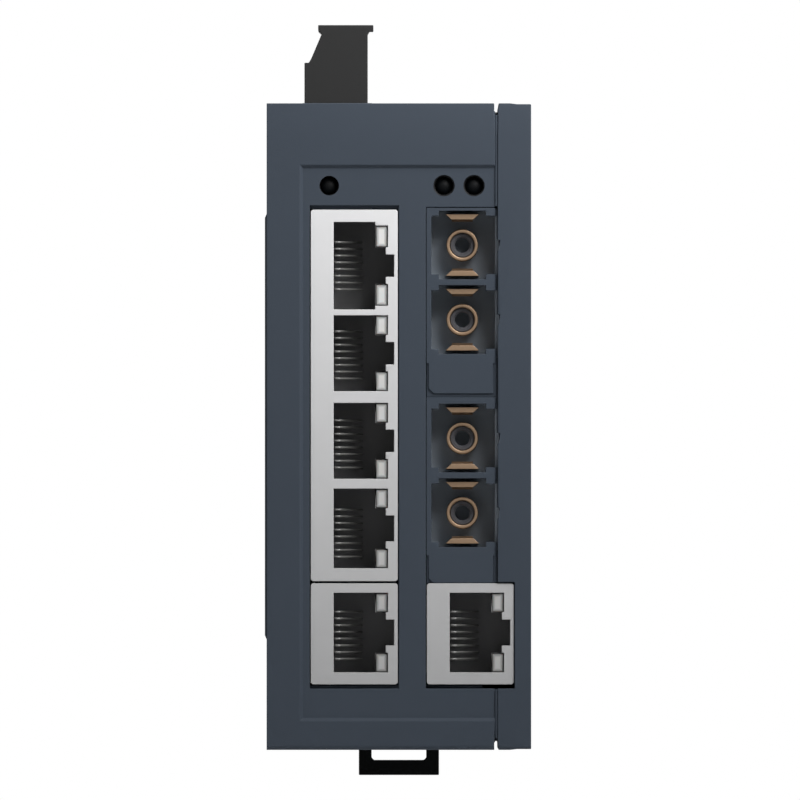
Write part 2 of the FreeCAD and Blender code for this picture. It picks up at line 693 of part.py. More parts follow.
def side_cover():
    shell = side_slab(0, 0, COVER_EDGE, RIGHT)
    shell = shell.cut(side_slab(WALL, FRONT_WALL, COVER_EDGE - 1, RIGHT - COVER_SKIN))
    inset = SLIT_DEPTH + FIT_GAP / 2
    tongue = tongue_ring(inset, inset + TONGUE_THICKNESS, BODY_EDGE - TONGUE_LENGTH, COVER_EDGE + 2)
    window = box(LEFT, COVER_EDGE - 0.01, FRONT - 1, FRONT_INNER + FRONT_WALL,
                 CUTOUT_BOTTOM - TONGUE_WINDOW_LOW, LIGHT_HEIGHT + TONGUE_WINDOW_HIGH)
    jack = box(LEFT, RIGHT_JACK_X + JACK_WIDTH + CUTOUT_SIDE_GAP, FRONT - 1, FRONT_INNER + 2 * FRONT_WALL,
               CUTOUT_BOTTOM, SINGLE_TOP + JACK_GAP / 2)
    shell = fused([shell, tongue.cut(window)] + snap_tabs() + hook_pockets(0))
    return cut_all(shell, seam_slits() + cover_crown() + port_keyways() + [jack])


# Circuit boards

def main_board():
    y0, y1 = FRONT_INNER + BOARD_EDGE_GAP, -WALL - BOARD_EDGE_GAP
    half = TOP - WALL - BOARD_EDGE_GAP
    board = box(MAIN_BOARD_FACE - BOARD_THICKNESS, MAIN_BOARD_FACE, y0, y1, -half, half)
    return cut_all(board, power_pin_holes(PIN_HOLE_FIT))


def fibre_board():
    y0, y1 = FRONT_INNER + BOARD_EDGE_GAP, -WALL - BOARD_EDGE_GAP
    half = TOP - WALL - BOARD_EDGE_GAP
    return box(FIBRE_BOARD_FACE - BOARD_THICKNESS, FIBRE_BOARD_FACE, y0, y1, -half, half)


def stacker(x0, x1, flange):
    """One half of the connector that joins the boards, with a wider foot on its own board."""
    half_y, half_z, foot = STACKER_DEPTH / 2, STACKER_LENGTH / 2, STACKER_FOOT
    y = -STACKER_BACK
    body = box(x0, x1, y - half_y, y + half_y, -half_z, half_z)
    base = box(flange[0], flange[1], y - half_y - foot, y + half_y + foot, -half_z - foot, half_z + foot)
    return fused([body, base])


def stacker_blade(x0, x1, grow):
    """The tongue between the halves of the board connector; grown by the fit, it is the socket's slot."""
    half_y, half_z = STACKER_BLADE / 2 + grow, STACKER_LENGTH / 2 - STACKER_BLADE_END + grow
    return box(x0, x1, -STACKER_BACK - half_y, -STACKER_BACK + half_y, -half_z, half_z)


def board_socket():
    top = MAIN_BOARD_FACE + SOCKET_HEIGHT
    body = stacker(MAIN_BOARD_FACE, top, (MAIN_BOARD_FACE, MAIN_BOARD_FACE + STACKER_FOOT_HEIGHT))
    return body.cut(stacker_blade(MAIN_BOARD_FACE + STACKER_SLOT_FLOOR, top + 1, STACKER_SLOT_FIT))


def board_header():
    back = FIBRE_BOARD_FACE - BOARD_THICKNESS
    x0 = MAIN_BOARD_FACE + SOCKET_HEIGHT
    body = stacker(x0, back, (back - STACKER_FOOT_HEIGHT, back))
    return fused([body, stacker_blade(x0 - STACKER_BLADE_REACH, x0 + STACKER_BLADE_ROOT, 0)])


# Copper port jacks

class Port:
    """One copper port's mouth, given by its middle height and the widths of its notches."""

    def __init__(self, z, mouth, tab, key, row_z):
        self.z = z
        self.mouth = mouth
        self.tab = tab
        self.key = key
        self.row_z = row_z
        self.lens = min((mouth - tab) / 2, LENS_MAX_HEIGHT)


def gang_ports():
    ports = []
    first = GANG_TOP - FIRST_PORT_SHARE * PORT_PITCH
    for number, (share, tab, key) in enumerate(zip(MOUTH_SHARES, TAB_HEIGHTS, KEY_HEIGHTS)):
        row = first - number * CONTACT_ROW_SHARE * PORT_PITCH
        ports.append(Port(first - number * PORT_PITCH, share * PORT_PITCH, tab, key, row))
    return ports


def single_ports():
    z = SINGLE_TOP - SINGLE_HEIGHT / 2 + SINGLE_PORT_RISE
    mouth = SINGLE_MOUTH_SHARE * SINGLE_HEIGHT
    return [Port(z, mouth, TAB_HEIGHTS[-1], KEY_HEIGHTS[-1], z - SINGLE_ROW_DROP)]


def mouth_steps(port, x, y0, y1):
    """The stepped mouth of a port: the plug's body, its latch and the latch's tip."""
    steps = []
    for end, height in ((MOUTH_END, port.mouth), (TAB_END, port.tab), (KEY_END, port.key)):
        steps.append(box(x + MOUTH_START, x + end, y0, y1, port.z - height / 2, port.z + height / 2))
    return steps


def lens_spans(port):
    for side in (1, -1):
        near = port.z + side * port.tab / 2
        far = near + side * port.lens
        yield min(near, far), max(near, far)


def jack_shield(x, top, height, ports):
    """A folded metal can, open towards its board, with the mouths and lens windows punched in its face."""
    outer = box(x, x + JACK_WIDTH, JACK_FACE, JACK_FACE + JACK_DEPTH, top - height, top)
    outer = bevel_edges(outer, SHIELD_CORNER, lambda edge: runs_along(edge, V(0, 1, 0)))
    t, bottom = SHIELD_THICKNESS, top - height
    inner = box(x - 1, x + JACK_WIDTH - t, JACK_FACE + t, JACK_FACE + JACK_DEPTH - t, bottom + t, top - t)
    hem = box(x, x + t, JACK_FACE, JACK_FACE + SHIELD_HEM, bottom + SHIELD_HEM_INSET, top - SHIELD_HEM_INSET)
    y0, y1 = JACK_FACE - 1, JACK_FACE + t + INSERT_GAP / 2
    tools = []
    for port in ports:
        tools += mouth_steps(port, x, y0, y1)
        for z0, z1 in lens_spans(port):
            tools.append(box(x + MOUTH_START, x + LENS_END, y0, y1, z0, z1))
    return cut_all(fused([outer.cut(inner), hem]), tools)


def jack_insert(x, top, height, ports):
    """The moulded body inside the can, with the plug cavities and the lens pockets."""
    t = SHIELD_THICKNESS + INSERT_GAP
    y0, y1 = JACK_FACE + t, JACK_FACE + JACK_DEPTH - t
    bottom, inset, end = top - height, INSERT_FOOT_INSET, INSERT_FOOT_END
    block = box(x + t, x + JACK_WIDTH - t, y0, y1, bottom + t, top - t)
    foot = box(x - JACK_STANDOFF, x + t, y0 + inset, y1 - inset, bottom + end, top - end)
    pocket_start = x + MOUTH_END + LENS_SIDE_GAP - LENS_POCKET_GAP
    pocket_back = JACK_FACE + LENS_RECESS + LENS_DEPTH
    tools = []
    for port in ports:
        tools += mouth_steps(port, x, y0 - 1, JACK_FACE + MOUTH_DEPTH)
        for z0, z1 in lens_spans(port):
            low, high = z0 + LENS_POCKET_END_GAP, z1 - LENS_POCKET_END_GAP
            tools.append(box(pocket_start, x + LENS_END, y0 - 1, pocket_back, low, high))
    return cut_all(fused([block, foot]), tools)


def contact_outline(x):
    """One springy contact seen along Z: flat on the cavity's floor, round the front bend, back to its tip."""
    t, lift = CONTACT_THICKNESS, CONTACT_NOSE
    floor = x + MOUTH_START
    front, back = JACK_FACE + CONTACT_BEND_DEPTH, JACK_FACE + MOUTH_DEPTH
    tip_x, tip_y = floor + CONTACT_TIP_RISE, JACK_FACE + CONTACT_TIP_DEPTH
    outer = [(floor, back), (floor, front + lift / 2), (floor + lift, front), (tip_x, tip_y)]
    slope = math.atan2(tip_y - front, tip_x - floor - lift)
    dx, dy = -t * math.sin(slope), t * math.cos(slope)
    inner = [(tip_x + dx, tip_y + dy), (floor + lift + dx, front + t + dy / 2), (floor + t, back)]
    return face_of([V(px, py, 0) for px, py in outer + inner])


def jack_contacts(x, ports):
    contacts = []
    outline = contact_outline(x)
    for port in ports:
        first = port.row_z + CONTACT_PITCH * (CONTACTS_PER_PORT - 1) / 2
        for number in range(CONTACTS_PER_PORT):
            contact = outline.extrude(V(0, 0, CONTACT_WIDTH))
            contact.translate(V(0, 0, first - number * CONTACT_PITCH - CONTACT_WIDTH / 2))
            contacts.append(contact)
    return Part.makeCompound(contacts)


def jack_lenses(x, ports):
    """Clear light windows, each a stem in its pocket."""
    lenses = []
    x0, x1 = x + MOUTH_END + LENS_SIDE_GAP, x + LENS_END - LENS_SIDE_GAP
    front = JACK_FACE + LENS_RECESS
    for port in ports:
        for low, high in lens_spans(port):
            lenses.append(box(x0, x1, front, front + LENS_DEPTH, low + LENS_LOW_GAP, high - LENS_SIDE_GAP))
    return Part.makeCompound(lenses)


# Fibre ports

def sc_centres(pair):
    centre = SC_PAIR_CENTRES[pair]
    return [centre + SC_PITCH / 2, centre - SC_PITCH / 2]


def port_cross(z, y0, y1, end, grow):
    """The cross-shaped opening of one fibre port; its wide arm runs out to the given X."""
    half_w, half_h = APERTURE_WIDTH / 2 + grow, APERTURE_HEIGHT / 2 + grow
    side = APERTURE_SIDE_HEIGHT / 2 + grow
    x = SC_CENTRE_X
    tall = box(x - half_w, x + half_w, y0, y1, z - half_h, z + half_h)
    wide = box(x - APERTURE_SIDE_REACH - grow, end, y0, y1, z - side, z + side)
    return [tall, wide]


def fibre_bezel(pair):
    """A plate with two ports over a blank; a shallow groove outlines the blank."""
    top = BEZEL_TOPS[pair]
    bottom = top - BEZEL_HEIGHT
    low = BEZEL_TOPS[1] + BEZEL_SEAM_GAP if pair == 0 else bottom
    x0, x1 = WINDOW_LEFT + BEZEL_GAP, BODY_EDGE
    port_bottom = sc_centres(pair)[1] - APERTURE_HEIGHT / 2
    blank_top = port_bottom - BEZEL_BLANK_SHARE * (port_bottom - bottom)
    b0, b1, corner = x0 + BEZEL_BLANK_INSET, x1 - BEZEL_BLANK_INSET, BEZEL_CORNER_SHARE * (blank_top - bottom)
    outline = [(x0, top), (x0, blank_top), (b0, blank_top), (b0, bottom + corner), (b0 + corner, bottom)]
    outline += [(b1, bottom), (b1, blank_top), (x1, blank_top), (x1, top)]
    face = prism_y(outline, PANEL_Y, BEZEL_BACK)
    backing = box(x0, COVER_EDGE - BEZEL_GAP, PANEL_Y + BEZEL_GROOVE, BEZEL_BACK, low, top)
    tools = []
    for z in sc_centres(pair):
        tools += port_cross(z, PANEL_Y - 1, BEZEL_BACK + 1, COVER_EDGE, 0)
    return cut_all(fused([face, backing]), tools)


def port_floor():
    return PANEL_Y + PORT_FLOOR_DEPTH


def barrel_tip():
    return PANEL_Y + BARREL_TIP_DEPTH


def transceiver(pair):
    """A duplex module on the fibre board, with a pocket for each port and stepped down behind."""
    centre = SC_PAIR_CENTRES[pair]
    half, step = TRANSCEIVER_HEIGHT / 2, TRANSCEIVER_STEP_Z
    y0 = BEZEL_BACK + TRANSCEIVER_FACE_GAP
    floor = port_floor()
    x0, x1 = FIBRE_BOARD_FACE, COVER_EDGE + TRANSCEIVER_COVER_LAP
    nose_end = floor + TRANSCEIVER_NOSE
    front = box(x0, x1, y0, nose_end, centre - half, centre + half)
    rear = box(x0, x1 - TRANSCEIVER_STEP_X, nose_end - TRANSCEIVER_LAP, y0 + TRANSCEIVER_DEPTH,
               centre - half + step, centre + half - step)
    pockets = []
    for z in sc_centres(pair):
        pockets += port_cross(z, y0 - 1, floor, BODY_EDGE, APERTURE_FIT)
    return cut_all(fused([front, rear]), pockets)


def port_barrel(z):
    """The round nose that guides a connector's ferrule, round its sleeve."""
    start, end = (SC_CENTRE_X, port_floor(), z), (SC_CENTRE_X, barrel_tip(), z)
    return cylinder(BARREL_DIAMETER / 2, start, end).cut(cylinder(BARREL_BORE / 2, start, end))


def ferrule_sleeve(z):
    start, end = (SC_CENTRE_X, port_floor(), z), (SC_CENTRE_X, barrel_tip() + SLEEVE_RECESS, z)
    return cylinder(BARREL_BORE / 2 - BARREL_FIT, start, end).cut(cylinder(FERRULE_BORE / 2, start, end))


def port_clip(z):
    """The two tapered arms beside a barrel, with hooked tips."""
    tip = PANEL_Y + CLIP_TIP_DEPTH
    catch, heel = tip + CLIP_HOOK_LENGTH, tip + CLIP_HOOK_LENGTH + CLIP_HOOK_HEEL
    narrow, wide, x = CLIP_NARROW / 2, CLIP_WIDE / 2, SC_CENTRE_X
    arms = []
    for side in (1, -1):
        near, far = z + side * CLIP_OFFSET, z + side * (CLIP_OFFSET + CLIP_THICKNESS)
        outline = [(x - narrow, near), (x + narrow, near), (x + wide, far), (x - wide, far)]
        root, nose = near + side * CLIP_HOOK_ROOT, near - side * CLIP_HOOK
        hook = prism_x([(tip, near), (catch, nose), (heel, near), (catch, root), (tip, root)],
                       x - narrow + CLIP_HOOK_INSET, x + narrow - CLIP_HOOK_INSET)
        arms.append(fused([prism_y(outline, tip, port_floor()), hook]))
    return Part.makeCompound(arms)


# Status lights

def status_light(x):
    """A light a little way behind its hole."""
    front = PANEL_Y + LIGHT_RECESS
    return cylinder(LIGHT_DIAMETER / 2, (x, front, LIGHT_HEIGHT), (x, front + LIGHT_LENGTH, LIGHT_HEIGHT))


def light_holder(face, xs):
    """The block that carries one or two lights above its board, bored for each light."""
    y0 = FRONT_INNER + BOARD_EDGE_GAP
    half = LIGHT_DIAMETER / 2 + LIGHT_HOLDER_WALL
    block = box(face, max(xs) + half, y0, y0 + LIGHT_HOLDER_LENGTH, LIGHT_HEIGHT - half, LIGHT_HEIGHT + half)
    back = PANEL_Y + LIGHT_RECESS + LIGHT_LENGTH
    radius = LIGHT_DIAMETER / 2 + LIGHT_HOLDER_FIT
    return cut_all(block, [cylinder(radius, (x, y0 - 1, LIGHT_HEIGHT), (x, back, LIGHT_HEIGHT)) for x in xs])


# Power header and plug

def pole_ys():
    first = PLUG_CENTRE_Y - POLE_PITCH * (POLES - 1) / 2
    return [first + number * POLE_PITCH for number in range(POLES)]


def neck_span():
    return PLUG_MIDDLE - PLUG_NECK_WIDTH / 2, PLUG_MIDDLE + PLUG_NECK_WIDTH / 2


def header_floor():
    return SHOULDER_Z - PLUG_NECK_LENGTH - HEADER_PLUG_GAP


def power_header():
    x0, x1 = neck_span()
    y0, y1 = PLUG_Y0 + PLUG_NECK_INSET, PLUG_Y1 - PLUG_NECK_INSET
    fit, wall, floor = HEADER_FIT, HEADER_WALL, header_floor()
    outer = box(MAIN_BOARD_FACE, x1 + fit + wall, y0 - fit - wall, y1 + fit + wall,
                floor - HEADER_BASE, SHOULDER_Z)
    inner_x = max(x0 - fit, MAIN_BOARD_FACE + HEADER_BOARD_WALL)
    inner = box(inner_x, x1 + fit, y0 - fit, y1 + fit, floor, SHOULDER_Z + 1)
    return cut_all(outer.cut(inner), [pin_body(y, 0) for y in pole_ys()])


def pin_body(y, grow):
    """One bent pin: out of the board, through the header's base, then up into the header."""
    half = PIN_SIDE / 2 + grow
    floor = header_floor()
    z = floor - HEADER_BASE / 2
    board_back = MAIN_BOARD_FACE - BOARD_THICKNESS - PIN_TAIL
    level = box(board_back, PLUG_MIDDLE + half, y - half, y + half, z - half, z + half)
    upright = box(PLUG_MIDDLE - half, PLUG_MIDDLE + half, y - half, y + half, z - half, floor + PIN_LENGTH)
    return fused([level, upright])


def power_pin_holes(grow):
    return [pin_body(y, grow) for y in pole_ys()]


def header_pins():
    return Part.makeCompound([pin_body(y, 0) for y in pole_ys()])


def cavity_span():
    """The room for a clamp cage inside the plug, along X."""
    x0 = PLUG_LEFT + SCREW_SETBACK + SCREW_HEAD_LENGTH + SCREW_HEAD_ROOM + BEARING_WALL
    return x0, PLUG_RIGHT - CAGE_BACK_WALL


def cage_span():
    x0, x1 = cavity_span()
    return x0 + SCREW_PITCH * SCREW_TURNS + CAGE_FIT, x1 - 2 * CAGE_FIT


def bar_span():
    x1 = cage_span()[1] - CAGE_WALL - SCREW_PITCH * SCREW_TURNS - 2 * CAGE_FIT
    return x1 - BAR_THICKNESS, x1


def plug_profile():
    """The plug's end view: body, step, slanted back and overhanging lip, as XZ points."""
    step = TOP + PLUG_STEP_RISE
    under = PLUG_TOP - PLUG_LIP_THICKNESS
    left, right = PLUG_LEFT, PLUG_RIGHT
    lip_left, lip_right, slant = left + PLUG_LIP_LEFT, right + PLUG_LIP_OVERHANG, left + PLUG_SLANT_FOOT
    waist, knee = PLUG_TOP - PLUG_WAIST_DROP, step + PLUG_SLANT_RISE
    return [(left, SHOULDER_Z), (right, SHOULDER_Z), (right, under - PLUG_LIP_ROOT),
            (right + PLUG_LIP_CORNER, under), (lip_right, under), (lip_right, PLUG_TOP), (lip_left, PLUG_TOP),
            (lip_left, under), (left + PLUG_WAIST_LEFT, waist), (slant + PLUG_SLANT_RUN, knee), (slant, step),
            (left, step)]


def socket_top():
    return header_floor() + PIN_LENGTH + SOCKET_END_GAP


def plug_contact(y, grow):
    """A socket for one pin, with the flat bar that its clamp presses the wire against."""
    x = PLUG_MIDDLE
    half = PIN_SIDE / 2 + SOCKET_FIT + SOCKET_WALL + grow
    z0, z1 = SHOULDER_Z - PLUG_NECK_LENGTH + SOCKET_END_GAP, socket_top() + SOCKET_WALL
    b0, b1 = bar_span()
    socket = box(x - half, x + half, y - half, y + half, z0 - grow, z1 + grow)
    bar = box(b0 - grow, b1 + grow, y - BAR_WIDTH / 2 - grow, y + BAR_WIDTH / 2 + grow,
              z1 - BAR_LAP, SCREW_Z + CAGE_HEIGHT / 2)
    return fused([socket, bar])


def plug_contacts():
    contacts = []
    hole = PIN_SIDE / 2 + SOCKET_FIT
    z0, x = SHOULDER_Z - PLUG_NECK_LENGTH, PLUG_MIDDLE
    for y in pole_ys():
        bore = box(x - hole, x + hole, y - hole, y + hole, z0 - 1, socket_top())
        contacts.append(plug_contact(y, 0).cut(bore))
    return Part.makeCompound(contacts)


def screw_bores(y):
    """The way in for one terminal screw's head and its bearing hole."""
    bearing_x = PLUG_LEFT + SCREW_SETBACK + SCREW_HEAD_LENGTH + SCREW_HEAD_ROOM
    radii = SCREW_HEAD / 2 + SCREW_RUNNING_FIT, SCREW_DIAMETER / 2 + SCREW_RUNNING_FIT
    head = cylinder(radii[0], (PLUG_LEFT - 1, y, SCREW_Z), (bearing_x, y, SCREW_Z))
    shank = cylinder(radii[1], (bearing_x, y, SCREW_Z), (cavity_span()[0], y, SCREW_Z))
    return [head, shank]


def cage_cavity(y):
    x0, x1 = cavity_span()
    half_y, half_z = CAGE_WIDTH / 2 + CAGE_FIT, CAGE_HEIGHT / 2 + CAGE_FIT
    return box(x0, x1, y - half_y, y + half_y, SCREW_Z - half_z, SCREW_Z + half_z)


def wire_funnel(y):
    """The flared way down to a clamp for one wire."""
    x0, x1 = bar_span()[1] + FUNNEL_BAR_GAP, cage_span()[1] - CAGE_WALL
    middle, flare = (x0 + x1) / 2, 2 * FUNNEL_FLARE
    neck = PLUG_TOP - FUNNEL_DEPTH
    low = rectangle(middle, y, x1 - x0, WIRE_WIDTH, neck)
    high = rectangle(middle, y, x1 - x0 + flare, WIRE_WIDTH + flare, PLUG_TOP)
    way = box(x0, x1, y - WIRE_WIDTH / 2, y + WIRE_WIDTH / 2, SCREW_Z, neck)
    return [loft(low, high), way]


def power_plug():
    body = prism_y(plug_profile(), PLUG_Y0, PLUG_Y1)
    x0, x1 = neck_span()
    bottom, inset = SHOULDER_Z - PLUG_NECK_LENGTH, PLUG_NECK_INSET
    neck = box(x0, x1, PLUG_Y0 + inset, PLUG_Y1 - inset, bottom, SHOULDER_Z + PLUG_NECK_ROOT)
    half, x = PIN_SIDE / 2 + SOCKET_FIT, PLUG_MIDDLE
    tools = []
    for y in pole_ys():
        tools += screw_bores(y) + wire_funnel(y) + [cage_cavity(y), plug_contact(y, SOCKET_BED_FIT)]
        tools.append(box(x - half, x + half, y - half, y + half, bottom - 1, bottom + SOCKET_END_GAP))
    return cut_all(fused([body, neck]), tools)


def terminal_screw(y):
    """A slotted screw that turns in the plug's bearing wall and in its cage's thread."""
    z, reach = SCREW_Z, SCREW_HEAD
    head_x = PLUG_LEFT + SCREW_SETBACK + SCREW_END_GAP
    under = head_x + SCREW_HEAD_LENGTH
    tip = bar_span()[0] - SCREW_END_GAP
    head = cylinder(SCREW_HEAD / 2, (head_x, y, z), (under, y, z))
    shank = cylinder(SCREW_DIAMETER / 2, (under, y, z), (tip, y, z))
    half = SCREW_SLOT / 2
    slot = box(head_x - 1, head_x + SCREW_SLOT_DEPTH, y - half, y + half, z - reach, z + reach)
    return fused([head, shank]).cut(slot)


def clamp_cage(y):
    """A square ring drawn up by its screw to clamp a wire under the bar."""
    x0, x1 = cage_span()
    half, wall, high, z = CAGE_WIDTH / 2, CAGE_WALL, CAGE_HEIGHT / 2, SCREW_Z
    outer = box(x0, x1, y - half, y + half, z - high, z + high)
    inner = box(x0 + wall, x1 - wall, y - half + wall, y + half - wall, z - 2 * high, z + 2 * high)
    thread = cylinder(SCREW_DIAMETER / 2 + SCREW_RUNNING_FIT, (x0 - 1, y, z), (x0 + 2 * wall, y, z))
    return outer.cut(inner).cut(thread)


# Rail latch

def din_latch():
    """The sliding foot: a nose behind the rail's lower lip, a spring window and a pull loop."""
    half = LATCH_WIDTH / 2
    tail = BOTTOM - LATCH_TAIL
    ramp = LATCH_THICKNESS - LATCH_NOSE_FLAT
    profile = [(LATCH_FRONT, tail), (LATCH_BACK, tail), (LATCH_BACK, LATCH_NOSE - ramp),
               (LATCH_FRONT + LATCH_NOSE_FLAT, LATCH_NOSE), (LATCH_FRONT, LATCH_NOSE)]
    plate = prism_x(profile, -half, half)
    room = SPRING_DIAMETER / 2 + SPRING_SIDE_ROOM
    y0, y1 = LATCH_FRONT - 1, LATCH_BACK + 1
    window = box(-room, room, y0, y1, SPRING_SEAT - POST_HEIGHT - POST_GAP, SPRING_SEAT + SPRING_LENGTH)
    eye_low = tail + LATCH_BAR
    eye_half = half - LATCH_LEG
    eye = box(-eye_half, eye_half, y0, y1, eye_low, eye_low + LATCH_EYE_HEIGHT)
    eye = bevel_edges(eye, LATCH_EYE_CORNER, lambda edge: runs_along(edge, V(0, 1, 0)))
    return plate.cut(window).cut(eye)


def latch_spring():
    """A compression spring between the housing's post and the latch's window, as a coil of short runs."""
    wire = SPRING_WIRE / 2
    radius = SPRING_DIAMETER / 2 - wire
    margin = wire + SPRING_END_GAP
    middle = (LATCH_FRONT + LATCH_BACK) / 2
    steps = SPRING_TURNS * SPRING_STEPS
    rise = (SPRING_LENGTH - 2 * margin) / steps
    section = [(radius + wire, 0), (radius, wire), (radius - wire, 0), (radius, -wire)]
    rings = []
    for step in range(steps + 1):
        turn, z = 2 * math.pi * step / SPRING_STEPS, SPRING_SEAT + margin + rise * step
        ring = [V(r * math.cos(turn), middle + r * math.sin(turn), z + up) for r, up in section]
        rings.append(Part.makePolygon(ring + [ring[0]]))
    return Part.makeLoft(rings, True, True)


# Components on the boards

def on_board(face, y, z, size):
    """A block of a given height off its board and given spans along Y and Z, centred at y and z."""
    height, span_y, span_z = size
    return box(face, face + height, y - span_y / 2, y + span_y / 2, z - span_z / 2, z + span_z / 2)


def behind_jacks(share):
    """A place along Y, as a share of the way from the jacks' backs to the back wall."""
    return JACK_BACK - share * (JACK_BACK + WALL)


def magnetics():
    first, pitch = GANG_TOP - MAGNETICS_DROP, MAGNETICS_PITCH_SHARE * GANG_HEIGHT
    y = behind_jacks(MAGNETICS_PLACE)
    blocks = [on_board(MAIN_BOARD_FACE, y, first - number * pitch, MAGNETICS_SIZE) for number in range(3)]
    return Part.makeCompound(blocks)


def capacitor(z):
    x0, y = MAIN_BOARD_FACE, behind_jacks(CAPACITOR_PLACE)
    return cylinder(CAPACITOR_DIAMETER / 2, (x0, y, z), (x0 + CAPACITOR_HEIGHT, y, z))


def inductor():
    size = (INDUCTOR_HEIGHT, INDUCTOR_SIDE, INDUCTOR_SIDE)
    block = on_board(MAIN_BOARD_FACE, behind_jacks(INDUCTOR_PLACE), TOP - INDUCTOR_DROP, size)
    return bevel_edges(block, INDUCTOR_CORNER, lambda edge: runs_along(edge, V(1, 0, 0)))


def fuse():
    return on_board(MAIN_BOARD_FACE, PLUG_Y1 + FUSE_BEHIND, TOP - FUSE_DROP, FUSE_SIZE)


def crystal():
    block = on_board(MAIN_BOARD_FACE, behind_jacks(CRYSTAL_PLACE), BOTTOM + CRYSTAL_RISE, CRYSTAL_SIZE)
    return bevel_edges(block, CRYSTAL_CORNER, lambda edge: runs_along(edge, V(1, 0, 0)))


def switch_chip():
    size = (CHIP_THICKNESS, CHIP_SIDE, CHIP_SIDE)
    return on_board(MAIN_BOARD_FACE, behind_jacks(SWITCH_CHIP_PLACE), BOTTOM + SWITCH_CHIP_RISE, size)


def fibre_chip():
    size = (CHIP_THICKNESS, PHY_SIDE, PHY_SIDE)
    return on_board(FIBRE_BOARD_FACE, behind_jacks(FIBRE_CHIP_PLACE), BOTTOM + FIBRE_CHIP_RISE, size)


def build_parts():
    parts = {
        "housing_body": housing_body(),
        "side_cover": side_cover(),
        "main_board": main_board(),
        "fibre_board": fibre_board(),
        "board_socket": board_socket(),
        "board_header": board_header(),
        "power_header": power_header(),
        "header_pins": header_pins(),
        "power_plug": power_plug(),
        "plug_contacts": plug_contacts(),
        "din_latch": din_latch(),
        "latch_spring": latch_spring(),
        "switch_chip": switch_chip(),
        "fibre_chip": fibre_chip(),
        "magnetics": magnetics(),
        "power_inductor": inductor(),
        "input_fuse": fuse(),
        "crystal": crystal(),
        "status_light_left": status_light(LEFT_LIGHT_X),
        "light_holder_left": light_holder(MAIN_BOARD_FACE, [LEFT_LIGHT_X]),
        "light_holder_right": light_holder(FIBRE_BOARD_FACE, RIGHT_LIGHT_XS),
    }
    jacks = {
        "gang_jack": (LEFT_JACK_X, GANG_TOP, GANG_HEIGHT, gang_ports()),
        "left_jack": (LEFT_JACK_X, SINGLE_TOP, SINGLE_HEIGHT, single_ports()),
        "right_jack": (RIGHT_JACK_X, SINGLE_TOP, SINGLE_HEIGHT, single_ports()),
    }
    for name, (x, top, height, ports) in jacks.items():
        parts[name + "_shield"] = jack_shield(x, top, height, ports)
        parts[name + "_insert"] = jack_insert(x, top, height, ports)
        parts[name + "_contacts"] = jack_contacts(x, ports)
        parts[name + "_lenses"] = jack_lenses(x, ports)
    for pair, place in enumerate(("upper", "lower")):
        parts["fibre_bezel_" + place] = fibre_bezel(pair)
        parts["transceiver_" + place] = transceiver(pair)
    fibre_zs = sc_centres(0) + sc_centres(1)
    for number, z in enumerate(fibre_zs, start=1):
        parts["port_barrel_%d" % number] = port_barrel(z)
        parts["ferrule_sleeve_%d" % number] = ferrule_sleeve(z)
        parts["port_clip_%d" % number] = port_clip(z)
    for number, x in enumerate(RIGHT_LIGHT_XS, start=1):
        parts["status_light_right_%d" % number] = status_light(x)
    for number, y in enumerate(pole_ys(), start=1):
        parts["terminal_screw_%d" % number] = terminal_screw(y)
        parts["clamp_cage_%d" % number] = clamp_cage(y)
    for number in range(2):
        parts["capacitor_%d" % (number + 1)] = capacitor(TOP - CAPACITOR_DROP - number * CAPACITOR_PITCH)
    return parts


def main():
    os.makedirs("parts", exist_ok=True)
    for name, shape in build_parts().items():
        shape.exportStep(os.path.join("parts", name + ".step"))
        print(name, len(shape.Solids), round(shape.Volume, 2), shape.isValid())


main()
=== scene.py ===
"""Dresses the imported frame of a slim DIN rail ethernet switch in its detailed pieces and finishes."""
import json
import math

import bmesh
import bpy
from bpy.props import FloatProperty, FloatVectorProperty, IntProperty, PointerProperty
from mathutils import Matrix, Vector

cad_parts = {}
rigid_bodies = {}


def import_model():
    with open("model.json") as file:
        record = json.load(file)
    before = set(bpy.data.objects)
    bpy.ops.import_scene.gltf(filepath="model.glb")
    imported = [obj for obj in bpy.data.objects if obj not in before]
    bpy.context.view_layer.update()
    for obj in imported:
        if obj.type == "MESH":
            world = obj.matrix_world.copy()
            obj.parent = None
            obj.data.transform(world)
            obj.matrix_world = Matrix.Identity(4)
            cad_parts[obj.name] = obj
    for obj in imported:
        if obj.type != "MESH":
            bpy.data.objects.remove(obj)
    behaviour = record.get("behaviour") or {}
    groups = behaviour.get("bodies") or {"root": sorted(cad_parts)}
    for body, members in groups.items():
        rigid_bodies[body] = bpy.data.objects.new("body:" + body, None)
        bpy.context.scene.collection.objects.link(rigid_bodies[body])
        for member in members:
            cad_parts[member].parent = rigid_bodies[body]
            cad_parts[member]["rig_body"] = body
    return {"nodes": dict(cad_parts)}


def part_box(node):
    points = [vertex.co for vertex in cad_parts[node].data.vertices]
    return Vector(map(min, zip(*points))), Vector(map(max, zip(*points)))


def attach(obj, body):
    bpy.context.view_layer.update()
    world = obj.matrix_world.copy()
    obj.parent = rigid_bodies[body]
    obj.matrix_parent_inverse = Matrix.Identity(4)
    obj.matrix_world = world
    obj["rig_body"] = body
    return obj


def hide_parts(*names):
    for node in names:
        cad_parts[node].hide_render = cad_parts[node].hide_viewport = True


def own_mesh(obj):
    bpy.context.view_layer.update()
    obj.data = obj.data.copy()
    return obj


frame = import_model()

bl_info = {
    "name": "DIN Rail Switch",
    "version": (1, 0, 0),
    "blender": (4, 5, 0),
    "location": "3D View > Sidebar > Rail Switch",
    "description": "Builds the detailed pieces and finishes of a DIN rail ethernet switch over its CAD frame",
    "category": "Object",
}

